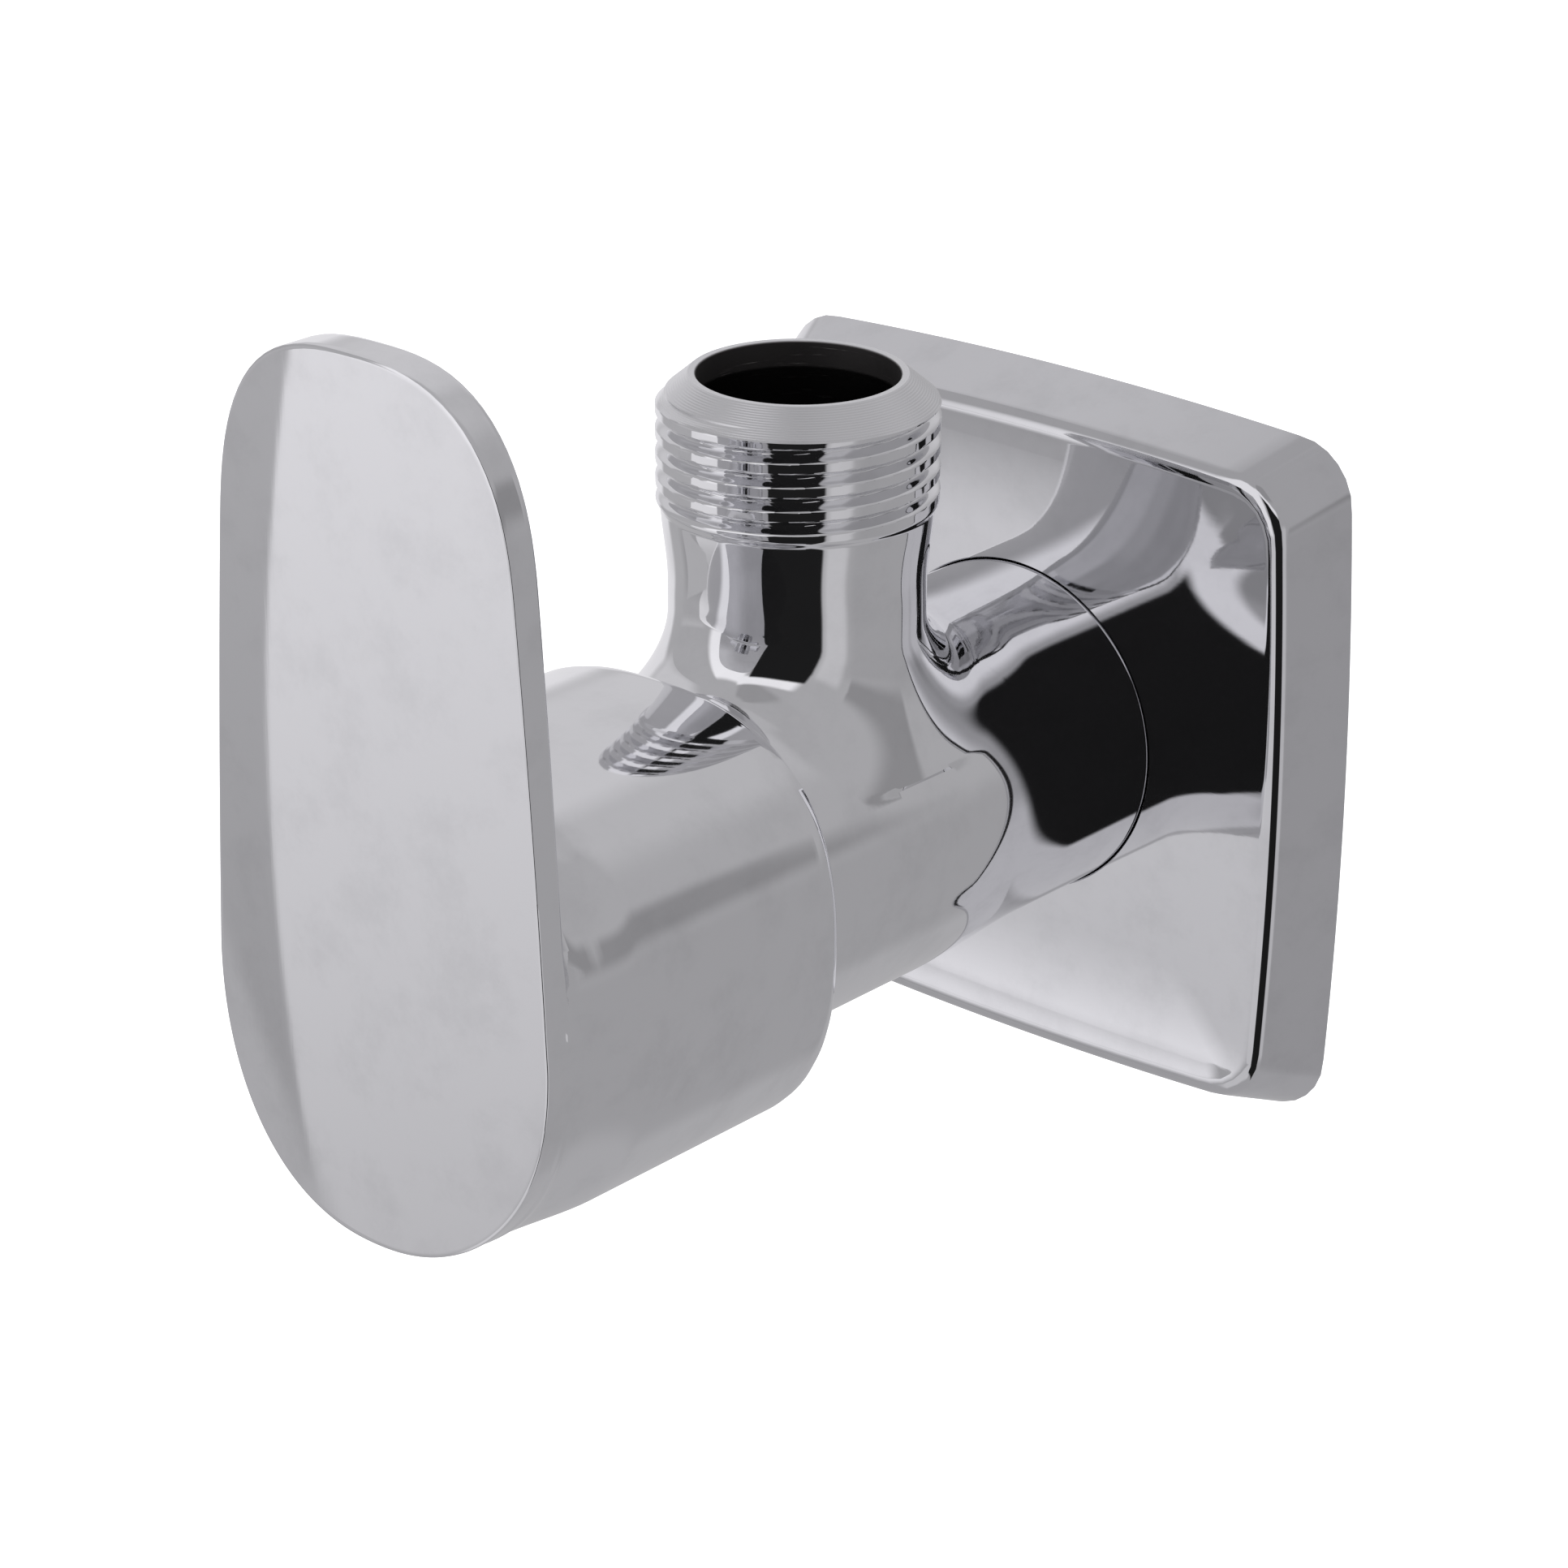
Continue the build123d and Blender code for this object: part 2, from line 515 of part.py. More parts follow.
# ---------------------------------------------------------------- spindle
o_ring_floor_r = SPINDLE_R - O_RING_SECTION
stem_out = MOVING_DISC_FRONT_OUT + STEM_GAP
with BuildPart() as spindle:
    with BuildSketch(Plane.XY):
        shaft = [(0, stem_out), (STEM_R, stem_out), (STEM_R, STOP_COLLAR_OUT),
                 (STOP_COLLAR_R, STOP_COLLAR_OUT), (STOP_COLLAR_R, THRUST_OUT),
                 (SPINDLE_R, THRUST_OUT)]
        for groove_out in O_RING_OUTS:
            shaft += [(SPINDLE_R, groove_out), (o_ring_floor_r, groove_out),
                      (o_ring_floor_r, groove_out + O_RING_GROOVE_WIDTH),
                      (SPINDLE_R, groove_out + O_RING_GROOVE_WIDTH)]
        shaft += [(SPINDLE_R, CIRCLIP_OUT), (SPINDLE_R - CIRCLIP_DEPTH, CIRCLIP_OUT),
                  (SPINDLE_R - CIRCLIP_DEPTH, CIRCLIP_OUT + CIRCLIP_THICKNESS),
                  (SPINDLE_R, CIRCLIP_OUT + CIRCLIP_THICKNESS), (SPINDLE_R, SPLINE_OUT),
                  (0, SPLINE_OUT)]
        Polygon(*turned(shaft), align=None)
    revolve(axis=Axis.Y)
    # Bar that drives the moving disc
    bar_out = MOVING_DISC_FRONT_OUT - DRIVE_SLOT_DEPTH + DRIVE_CLEARANCE
    with BuildSketch(out(bar_out)):
        Rectangle(2 * (DISC_R - DRIVE_BAR_INSET), DRIVE_SLOT_WIDTH - 2 * DRIVE_CLEARANCE)
    extrude(amount=stem_out - bar_out)
    # Lugs that meet the housing's ribs, at rest in the open position
    for middle in (135, 315):
        with BuildSketch(out(STOP_COLLAR_OUT)):
            with BuildLine():
                inner = CenterArc((0, 0), STEM_R, middle - STOP_LUG_ANGLE / 2, STOP_LUG_ANGLE)
                outer = CenterArc((0, 0), STOP_LUG_R, middle - STOP_LUG_ANGLE / 2, STOP_LUG_ANGLE)
                Line(inner @ 0, outer @ 0)
                Line(inner @ 1, outer @ 1)
            make_face()
        extrude(amount=STOP_COLLAR_LENGTH)
    # Toothed end, with a neck for the set screw's point
    with BuildSketch(out(SPLINE_OUT)):
        Polygon(*spline_outline(0), align=None)
    extrude(amount=SPLINE_LENGTH)
    with BuildSketch(Plane.XY):
        Polygon(*turned([(SCREW_NECK_R, SCREW_OUT - SCREW_NECK_WIDTH / 2),
                         (SPINDLE_R, SCREW_OUT - SCREW_NECK_WIDTH / 2),
                         (SPINDLE_R, SCREW_OUT + SCREW_NECK_WIDTH / 2),
                         (SCREW_NECK_R, SCREW_OUT + SCREW_NECK_WIDTH / 2)]), align=None)
    revolve(axis=Axis.Y, mode=Mode.SUBTRACT)

spindle_o_rings = [round_ring(o_ring_floor_r + RING_LIFT, O_RING_SECTION,
                              groove_out + (O_RING_GROOVE_WIDTH - O_RING_SECTION) / 2)
                   for groove_out in O_RING_OUTS]

with BuildPart() as spindle_circlip:
    with BuildSketch(out(CIRCLIP_OUT)):
        Circle(CIRCLIP_R)
        Circle(SPINDLE_R - CIRCLIP_DEPTH, mode=Mode.SUBTRACT)
        with Locations((0, CIRCLIP_R)):
            Rectangle(CIRCLIP_OPENING, 2 * CIRCLIP_R, mode=Mode.SUBTRACT)
    extrude(amount=CIRCLIP_THICKNESS)

# ---------------------------------------------------------------- handle
with BuildPart() as blade:
    with BuildSketch(out(BLADE_BACK_OUT)):
        with BuildLine():
            Spline(*blade_outline(), periodic=True)
        make_face()
    extrude(amount=BLADE_FACE_OUT - BLADE_BACK_OUT + CUT_OVER)
    with BuildSketch(Plane.XY.offset(-2 * BLADE_BOTTOM)):
        with Locations((0, BLADE_CROWN_R - BLADE_FACE_OUT)):
            Circle(BLADE_CROWN_R)
    extrude(amount=2 * (BLADE_BOTTOM + BLADE_TOP), mode=Mode.INTERSECT)
    fillet(blade.edges().filter_by(GeomType.BSPLINE), BLADE_EDGE_R)

with BuildPart() as knob:
    with BuildSketch(out(KNOB_REAR_OUT)):
        with BuildLine():
            Spline(*knob_outline(), periodic=True)
        make_face()
    extrude(amount=KNOB_FRONT_OUT - KNOB_REAR_OUT)
    fillet(knob.edges().group_by(Axis.Y)[-1], KNOB_REAR_ROUND)
    fillet(knob.edges().group_by(Axis.Y)[0], KNOB_FRONT_ROUND)

cavity_floor_out = INSERT_FRONT_OUT + CAVITY_LEAD
screw_head = SCREW_NECK_R + SCREW_LENGTH
with BuildPart() as handle:
    add(knob.part)
    add(blade.part)
    # Hollow underneath, round a central post
    with BuildSketch(Plane.XY):
        Polygon(*turned([(0, KNOB_REAR_OUT), (KNOB_CAVITY_R, KNOB_REAR_OUT),
                         (KNOB_CAVITY_R, cavity_floor_out), (POST_R, cavity_floor_out),
                         (POST_R, INSERT_OUT), (0, INSERT_OUT)]), align=None)
    revolve(axis=Axis.Y, mode=Mode.SUBTRACT)
    # Boss that carries the set screw from the post to the knob's underside
    with BuildSketch(Plane.XY.offset(-KNOB_CAVITY_R - SCREW_BOSS_ROOT)):
        with Locations((0, -SCREW_OUT)):
            Circle(SCREW_BOSS_R)
    extrude(amount=KNOB_CAVITY_R - INSERT_R)
    with BuildSketch(out(INSERT_OUT)):
        Circle(INSERT_R)
    extrude(amount=INSERT_FRONT_OUT - INSERT_OUT, mode=Mode.SUBTRACT)
    with BuildSketch(Plane.XY.offset(-KNOB_BOTTOM - CUT_OVER)):
        with Locations((0, -SCREW_OUT)):
            Circle(SCREW_R)
    extrude(amount=KNOB_BOTTOM + CUT_OVER, mode=Mode.SUBTRACT)

with BuildPart() as spline_insert:
    with BuildSketch(out(INSERT_OUT)):
        Circle(INSERT_R)
        Polygon(*spline_outline(SPLINE_CLEARANCE), align=None, mode=Mode.SUBTRACT)
    extrude(amount=INSERT_FRONT_OUT - INSERT_OUT)
    with BuildSketch(Plane.XY.offset(-INSERT_R - CUT_OVER)):
        with Locations((0, -SCREW_OUT)):
            Circle(SCREW_POINT_R + SCREW_CLEARANCE)
    extrude(amount=INSERT_R + CUT_OVER, mode=Mode.SUBTRACT)

point_base = SCREW_NECK_R + SCREW_CLEARANCE + SCREW_POINT_LENGTH
with BuildPart() as grub_screw:
    with BuildSketch(out(SCREW_OUT)):
        Polygon((0, -(SCREW_NECK_R + SCREW_CLEARANCE)),
                (SCREW_POINT_R, -(SCREW_NECK_R + SCREW_CLEARANCE)),
                (SCREW_POINT_R, -max(point_base, INSERT_R)), (SCREW_R, -max(point_base, INSERT_R)),
                (SCREW_R, -screw_head), (0, -screw_head), align=None)
    revolve(axis=Axis((0, -SCREW_OUT, 0), (0, 0, 1)))
    with BuildSketch(Plane.XY.offset(-screw_head)):
        with Locations((0, -SCREW_OUT)):
            RegularPolygon(SCREW_SOCKET / 2 / cos(radians(30)), 6)
    extrude(amount=SCREW_SOCKET_DEPTH, mode=Mode.SUBTRACT)

# ---------------------------------------------------------------- one file for each piece
pieces = {
    "valve_body": valve_body,
    "wall_flange": wall_flange,
    "flange_grip_ring": flange_grip_ring,
    "cartridge_housing": cartridge_housing,
    "housing_seal": housing_seal,
    "seat_seal": seat_seal,
    "seal_backing_ring": seal_backing_ring,
    "fixed_disc": fixed_disc,
    "moving_disc": moving_disc,
    "spindle": spindle,
    "thrust_washer": thrust_washer,
    "spindle_o_ring_rear": spindle_o_rings[0],
    "spindle_o_ring_front": spindle_o_rings[1],
    "slip_washer": slip_washer,
    "spindle_circlip": spindle_circlip,
    "handle": handle,
    "spline_insert": spline_insert,
    "grub_screw": grub_screw,
}
for name, piece in pieces.items():
    piece.part.label = name
    export_step(piece.part, f"parts/{name}.step")
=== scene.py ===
"""Angle stop valve: the finished look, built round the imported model.

The mirror-plated pieces are new surfaces: their points are worked out as whole arrays and settled
onto smooth fields, so that reflections run over every blend without a break. The pieces inside keep
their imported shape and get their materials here.
"""

import logging
import math
from collections.abc import Callable, Sequence
from dataclasses import dataclass, field
from enum import Enum
from functools import partialmethod

import bmesh
import bpy
import numpy as np
from mathutils import Matrix, Vector


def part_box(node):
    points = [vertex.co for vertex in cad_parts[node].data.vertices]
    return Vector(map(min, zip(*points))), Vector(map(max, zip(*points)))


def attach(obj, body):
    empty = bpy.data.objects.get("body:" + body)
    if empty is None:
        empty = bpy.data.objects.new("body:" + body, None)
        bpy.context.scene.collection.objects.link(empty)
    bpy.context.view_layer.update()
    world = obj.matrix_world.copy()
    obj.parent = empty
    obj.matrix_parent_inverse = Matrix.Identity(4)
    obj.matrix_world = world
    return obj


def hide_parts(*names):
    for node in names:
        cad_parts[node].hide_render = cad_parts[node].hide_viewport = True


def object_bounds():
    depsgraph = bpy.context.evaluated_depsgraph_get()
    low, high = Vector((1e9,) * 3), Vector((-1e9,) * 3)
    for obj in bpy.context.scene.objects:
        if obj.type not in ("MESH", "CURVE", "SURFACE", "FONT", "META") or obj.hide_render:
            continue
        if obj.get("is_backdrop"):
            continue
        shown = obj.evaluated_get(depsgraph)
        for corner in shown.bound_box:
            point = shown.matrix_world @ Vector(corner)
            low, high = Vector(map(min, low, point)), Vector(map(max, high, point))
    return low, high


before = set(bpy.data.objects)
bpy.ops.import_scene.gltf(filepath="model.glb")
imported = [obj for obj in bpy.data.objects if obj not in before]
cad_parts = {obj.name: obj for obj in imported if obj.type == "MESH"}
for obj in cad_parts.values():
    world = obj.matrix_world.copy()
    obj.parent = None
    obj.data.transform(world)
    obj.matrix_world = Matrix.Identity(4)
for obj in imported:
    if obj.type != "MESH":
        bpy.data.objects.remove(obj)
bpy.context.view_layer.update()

logging.basicConfig(level=logging.INFO, format="%(message)s")
LOG = logging.getLogger("angle_valve")

Array = np.ndarray
Field = Callable[[Array], Array]
MM = 0.001  # one millimetre in metres; the shapes below are worked out in millimetres
CREASE = 32.0  # angle in degrees past which an edge of a new surface is sharp


# ------------------------------------------------------------------ numbers and fields
def smooth_step(value: Array | float, start: float, end: float) -> Array:
    """Rise from 0 to 1 between two values, flat at both ends: 3t^2 - 2t^3.

    Args:
        value: Where to work out the step.
        start: Value at which it leaves 0.
        end: Value at which it reaches 1.

    Returns:
        The step's height at each value.
    """
    share = np.clip((np.asarray(value) - start) / (end - start), 0.0, 1.0)
    return share * share * (3.0 - 2.0 * share)


def shares(count: int) -> Array:
    """Even shares from 0 to 1, both among them."""
    return np.linspace(0.0, 1.0, count)


def round_union(first: Array, second: Array, radius: Array | float) -> Array:
    """Distance to two joined solids with a rolled fillet between them.

    Where both distances are under the radius, it is the radius less the length of what each lacks
    of it, and elsewhere the lesser distance.

    Args:
        first: Signed distance to the first solid.
        second: Signed distance to the second solid.
        radius: Fillet radius.

    Returns:
        Signed distance to the joined solid.
    """
    lack = np.hypot(np.maximum(radius - first, 0.0), np.maximum(radius - second, 0.0))
    return np.maximum(radius, np.minimum(first, second)) - lack


def round_meet(first: Array, second: Array, radius: Array | float) -> Array:
    """Distance to what two solids share, with their common edge rounded off.

    Args:
        first: Signed distance to the first solid.
        second: Signed distance to the second solid.
        radius: Radius of the edge.

    Returns:
        Signed distance to the shared solid.
    """
    over = np.hypot(np.maximum(radius + first, 0.0), np.maximum(radius + second, 0.0))
    return np.minimum(-radius, np.maximum(first, second)) + over


def slope_of(points: Array, shape: Field, step: float = 1e-3) -> Array:
    """Gradient of a field by central differences.

    Args:
        points: Array of positions, last axis x, y, z.
        shape: Field to differentiate.
        step: Half the distance between the two samples.

    Returns:
        Array of gradients, one for each position.
    """
    parts = []
    for axis in range(points.shape[-1]):
        shift = np.zeros(points.shape[-1])
        shift[axis] = step
        parts.append((shape(points + shift) - shape(points - shift)) / (2.0 * step))
    return np.stack(parts, axis=-1)


def settle(points: Array, shape: Field, rounds: int = 6, reach: float = 1.5) -> Array:
    """Move points onto a field's zero surface by Newton steps along its gradient.

    Args:
        points: Starting positions near the surface.
        shape: Field whose zero is the surface.
        rounds: Number of steps.
        reach: Longest single step.

    Returns:
        The settled positions.
    """
    for _ in range(rounds):
        gradient = slope_of(points, shape)
        size = np.maximum(np.sum(gradient * gradient, axis=-1, keepdims=True), 1e-9)
        move = shape(points)[..., None] * gradient / size
        length = np.maximum(np.linalg.norm(move, axis=-1, keepdims=True), 1e-12)
        points = points - move * np.minimum(1.0, reach / length)
    return points


# ------------------------------------------------------------------ meshes
class Skin:
    """Grids of points that join into one closed mesh where their edges coincide."""

    GRAIN = 1e-4  # points nearer than this, in millimetres, are one

    def __init__(self) -> None:
        """Start with no grids."""
        self._points: list[Array] = []
        self._quads: list[Array] = []
        self._count = 0

    def grid(self, points: Array, wrap: bool = False) -> None:
        """Add a grid of rows and columns.

        Args:
            points: Array of rows by columns by x, y, z, in millimetres.
            wrap: Whether the last column joins the first.
        """
        rows, columns = points.shape[:2]
        index = self._count + np.arange(rows * columns).reshape(rows, columns)
        if wrap:
            index = np.concatenate([index, index[:, :1]], axis=1)
        quads = np.stack([index[:-1, :-1], index[:-1, 1:], index[1:, 1:], index[1:, :-1]], axis=-1)
        self._points.append(points.reshape(-1, 3))
        self._quads.append(quads.reshape(-1, 4))
        self._count += rows * columns

    def mesh(self, name: str, crease: float = CREASE) -> bpy.types.Mesh:
        """Join the grids into a mesh that is shaded smooth up to a crease angle.

        Args:
            name: Name of the mesh.
            crease: Angle in degrees past which an edge is sharp.

        Returns:
            The new mesh, in metres, with its faces outwards.
        """
        points = np.concatenate(self._points)
        quads = np.concatenate(self._quads)
        keys = np.round(points / self.GRAIN).astype(np.int64)
        _, first, place = np.unique(keys, axis=0, return_index=True, return_inverse=True)
        quads = place.reshape(-1)[quads]
        faces = []
        for corners in quads.tolist():
            kept = [c for i, c in enumerate(corners) if c != corners[i - 1]]
            if len(kept) > 2 and len(set(kept)) == len(kept):
                faces.append(kept)
        mesh = bpy.data.meshes.new(name)
        mesh.from_pydata((points[first] * MM).tolist(), [], faces)
        return finish_mesh(mesh, crease)


def finish_mesh(mesh: bpy.types.Mesh, crease: float) -> bpy.types.Mesh:
    """Clear stray points, turn the faces outwards and set smooth shading.

    Args:
        mesh: Mesh to finish.
        crease: Angle in degrees past which an edge is sharp.

    Returns:
        The same mesh.
    """
    work = bmesh.new()
    work.from_mesh(mesh)
    bmesh.ops.delete(work, geom=[v for v in work.verts if not v.link_faces], context="VERTS")
    bmesh.ops.recalc_face_normals(work, faces=work.faces)
    open_edges = sum(1 for e in work.edges if len(e.link_faces) != 2)
    if work.calc_volume(signed=True) < 0.0:
        bmesh.ops.reverse_faces(work, faces=work.faces)
    work.to_mesh(mesh)
    work.free()
    mesh.shade_smooth()
    mesh.set_sharp_from_angle(angle=math.radians(crease))
    mesh.update()
    if open_edges:
        LOG.warning("%s has %d edges without two faces", mesh.name, open_edges)
    return mesh


def place(mesh: bpy.types.Mesh, name: str) -> bpy.types.Object:
    """Put a mesh into the scene as an object at the origin."""
    thing = bpy.data.objects.new(name, mesh)
    bpy.context.scene.collection.objects.link(thing)
    return thing


def about_y(radius: Array, angle: Array, along: Array) -> Array:
    """Points at a radius and an angle about the barrel's axis, from +Z towards +X."""
    return np.stack(np.broadcast_arrays(radius * np.sin(angle), along, radius * np.cos(angle)), axis=-1)


def about_z(radius: Array, angle: Array, centre: float, height: Array) -> Array:
    """Points at a radius and an angle about an upright axis that crosses the barrel's."""
    return np.stack(np.broadcast_arrays(radius * np.cos(angle), centre + radius * np.sin(angle),
                                        height), axis=-1)


def turned_grid(profile: Array, angles: Array, axis: str = "y", centre: float = 0.0) -> Array:
    """Points of a profile turned about an axis: each radius times the unit circle.

    Args:
        profile: Rows of radius and position along the axis.
        angles: Angle of each column, in radians, from +Z towards +X about Y, or from +X about Z.
        axis: "y", or "z" through a point of the Y axis.
        centre: Where the Z axis stands along Y.

    Returns:
        Grid of rows by columns by x, y, z.
    """
    radius, along = profile[:, :1], profile[:, 1:2]
    if axis == "y":
        return about_y(radius, angles[None, :], along)
    return about_z(radius, angles[None, :], centre, along)


def refine(profile: Sequence[tuple[float, float]], step: float) -> Array:
    """Divide a profile's straight runs into steps of about a length."""
    corners = np.array(profile, dtype=float)
    rows = [corners[:1]]
    for start, end in zip(corners[:-1], corners[1:]):
        count = max(1, int(math.ceil(np.linalg.norm(end - start) / step)))
        share = shares(count + 1)[1:, None]
        rows.append(start + share * (end - start))
    return np.concatenate(rows)


def turned_solid(name: str, profile: Sequence[tuple[float, float]], axis: str = "y",
                 centre: float = 0.0, columns: int = 96) -> bpy.types.Object:
    """Closed solid turned from a profile, used as a cutter.

    Args:
        name: Name of the object.
        profile: Radius and position pairs, from the axis back to the axis or round a closed ring.
        axis: "y" or "z".
        centre: Where a Z axis stands along Y.
        columns: Number of facets round.

    Returns:
        The object.
    """
    angles = np.linspace(0.0, 2.0 * np.pi, columns, endpoint=False)
    skin = Skin()
    skin.grid(turned_grid(np.array(profile, dtype=float), angles, axis, centre), wrap=True)
    return place(skin.mesh(name), name)


def cylinder(name: str, radius: float, ends: tuple[float, float], axis: str = "y",
             centre: float = 0.0, columns: int = 96) -> bpy.types.Object:
    """Closed round rod, for cutting a hole or joining a boss.

    Args:
        name: Name of the object.
        radius: Its radius.
        ends: Where it starts and ends along its axis.
        axis: "y" or "z".
        centre: Where a Z axis stands along Y.
        columns: Number of facets round.

    Returns:
        The object.
    """
    low, high = ends
    return turned_solid(name, [(0.0, low), (radius, low), (radius, high), (0.0, high)], axis, centre,
                        columns)


class Cut(Enum):
    """How a tool meets the body that it is used on."""

    TAKE = "DIFFERENCE"
    JOIN = "UNION"


def cut(body: bpy.types.Object, tool: bpy.types.Object, how: Cut) -> None:
    """Cut a tool from a body or join it on, and remove the tool.

    Args:
        body: Object that is changed.
        tool: Object that is used up.
        how: Whether the tool is taken away or joined.
    """
    change = body.modifiers.new("cut", "BOOLEAN")
    change.object = tool
    change.operation = how.value
    change.solver = "EXACT"
    graph = bpy.context.evaluated_depsgraph_get()
    result = bpy.data.meshes.new_from_object(body.evaluated_get(graph))
    body.modifiers.clear()
    old = body.data
    result.name = old.name
    body.data = result
    bpy.data.meshes.remove(old)
    bpy.data.objects.remove(tool)


# ------------------------------------------------------------------ shader writing
class Wire:
    """A shader socket, with arithmetic that adds Math nodes."""

    def __init__(self, board: "Board", socket: bpy.types.NodeSocket) -> None:
        """Wrap a socket of a node tree."""
        self.board = board
        self.socket = socket

    def _math(self, operation: str, *others: "Wire | float") -> "Wire":
        """Add a Math node on this wire and then the others."""
        return self.board.node("ShaderNodeMath", {"operation": operation},
                               dict(enumerate((self, *others))))

    def _math_after(self, operation: str, first: float) -> "Wire":
        """Add a Math node on a number and then this wire."""
        return self.board.node("ShaderNodeMath", {"operation": operation}, {0: first, 1: self})

    # Each adds one Math node; the reflected forms take a number on the left
    __add__ = partialmethod(_math, "ADD")
    __sub__ = partialmethod(_math, "SUBTRACT")
    __mul__ = partialmethod(_math, "MULTIPLY")
    __radd__ = partialmethod(_math_after, "ADD")
    __rsub__ = partialmethod(_math_after, "SUBTRACT")
    __rmul__ = partialmethod(_math_after, "MULTIPLY")
    power = partialmethod(_math, "POWER")
    sine = partialmethod(_math, "SINE")
    arcsine = partialmethod(_math, "ARCSINE")
    arctangent = partialmethod(_math, "ARCTAN2")

    def step(self, start: float, end: float) -> "Wire":
        """Smooth rise from 0 to 1 between two values."""
        return self.board.node("ShaderNodeMapRange", {"interpolation_type": "SMOOTHSTEP"},
                               {"Value": self, "From Min": start, "From Max": end})


class Board:
    """A node tree with one way to add nodes."""

    def __init__(self, tree: bpy.types.NodeTree) -> None:
        """Take over a node tree."""
        self.tree = tree

    def node(self, kind: str, settings: dict[str, object], inputs: dict[object, object],
             output: int | str = 0) -> Wire:
        """Add a node.

        Args:
            kind: The node's type.
            settings: Properties that are set first.
            inputs: Values or wires for its sockets, by name or number.
            output: The output that the wire carries.

        Returns:
            Wire from that output.
        """
        made = self.tree.nodes.new(kind)
        for name, value in settings.items():
            setattr(made, name, value)
        for name, value in inputs.items():
            socket = made.inputs[name]
            if isinstance(value, Wire):
                self.tree.links.new(value.socket, socket)
            else:
                socket.default_value = value
        return Wire(self, made.outputs[output])

    def split(self, vector: Wire) -> tuple[Wire, Wire, Wire]:
        """A vector's x, y and z as three wires."""
        node = self.node("ShaderNodeSeparateXYZ", {}, {"Vector": vector}).socket.node
        return tuple(Wire(self, node.outputs[i]) for i in range(3))

    def blend(self, factor: Wire, *ends: tuple[float, float, float] | Wire) -> Wire:
        """Mix two colours, each a wire or its red, green and blue, by a factor."""
        low, high = (end if isinstance(end, Wire) else (*end, 1.0) for end in ends)
        return self.node("ShaderNodeMix", {"data_type": "RGBA"},
                         {"Factor": factor, 6: low, 7: high}, 2)


class Paint(Board):
    """A material under construction, with one principled surface."""

    def __init__(self, name: str) -> None:
        """Start a material with its surface shader and its output."""
        self.material = bpy.data.materials.new(name)
        self.material.use_nodes = True
        super().__init__(self.material.node_tree)
        self.surface = self.tree.nodes["Principled BSDF"]
        self.position = self.node("ShaderNodeTexCoord", {}, {}, "Object")

    def set(self, **values: object) -> None:
        """Set the surface shader's sockets, whose names take underscores for spaces."""
        for name, value in values.items():
            socket = self.surface.inputs[name.replace("_", " ")]
            if isinstance(value, Wire):
                self.tree.links.new(value.socket, socket)
            else:
                socket.default_value = value

    def feed(self, name: str) -> Wire:
        """What already feeds a socket of the surface shader."""
        return Wire(self, self.surface.inputs[name].links[0].from_socket)

    def stretched(self, scale: tuple[float, float, float]) -> Wire:
        """Object coordinates stretched by a scale along each axis."""
        return self.node("ShaderNodeMapping", {}, {"Vector": self.position, "Scale": scale})

    def noise(self, where: Wire, scale: float, detail: float = 3.0, rough: float = 0.5) -> Wire:
        """Noise from 0 to 1 at positions."""
        return self.node("ShaderNodeTexNoise", {}, {"Vector": where, "Scale": scale, "Detail": detail,
                                                    "Roughness": rough})

    def bump(self, height: Wire, strength: float, depth: float, under: Wire | None = None) -> Wire:
        """Normal that follows a height, over another normal where one is given."""
        inputs: dict[object, object] = {"Height": height, "Strength": strength, "Distance": depth}
        if under is not None:
            inputs["Normal"] = under
        return self.node("ShaderNodeBump", {}, inputs)

    def axes(self) -> tuple[Wire, Wire, Wire]:
        """The object coordinates as three wires, x, y and z."""
        return self.split(self.position)


@dataclass(frozen=True)
class Chrome:
    """Polished chrome plate with the faint waves and scratches of the buffing wheel."""

    name: str
    colour: tuple[float, float, float] = (0.80, 0.80, 0.818)
    roughness: float = 0.035
    smear: float = 0.045
    wave_scale: float = 55.0
    wave_depth: float = 0.000006
    grain: tuple[float, float, float] = (60.0, 60.0, 900.0)
    grain_depth: float = 0.0000012
    cloud_scale: float = 180.0
    cloud_shade: float = 0.93

    def paint(self) -> Paint:
        """Make the plate's material.

        Returns:
            The paint, so that a finish on top can go on from it.
        """
        paint = Paint(self.name)
        broad = paint.noise(paint.position, self.wave_scale, 2.0)
        brushed = paint.noise(paint.stretched(self.grain), 1.0, 4.0, 0.6)
        cloud = paint.noise(paint.position, self.cloud_scale, 5.0, 0.65).step(0.42, 0.75)
        shade = paint.blend(cloud, self.colour, [part * self.cloud_shade for part in self.colour])
        paint.set(Metallic=1.0, Base_Color=shade,
                  Roughness=self.roughness + self.smear * brushed.step(0.45, 0.85) * cloud)
        waves = paint.bump(broad, 1.0, self.wave_depth)
        paint.set(Normal=paint.bump(brushed, 1.0, self.grain_depth, waves))
        return paint


@dataclass(frozen=True)
class Metal:
    """Machined bare metal with turning marks about the barrel's axis."""

    name: str
    colour: tuple[float, float, float]
    dark: tuple[float, float, float]
    roughness: float = 0.28
    pitch: float = 0.00022
    ring_depth: float = 0.000008
    stain_scale: float = 240.0

    def paint(self) -> Paint:
        """Make the metal's material.

        Returns:
            The paint.
        """
        paint = Paint(self.name)
        _, along, _ = paint.axes()
        rings = (along * (2.0 * math.pi / self.pitch)).sine()
        stain = paint.noise(paint.position, self.stain_scale, 5.0, 0.6)
        paint.set(Metallic=1.0, Base_Color=paint.blend(stain.step(0.4, 0.7), self.colour, self.dark),
                  Roughness=self.roughness + 0.15 * stain)
        paint.set(Normal=paint.bump(rings, 0.4, self.ring_depth))
        return paint


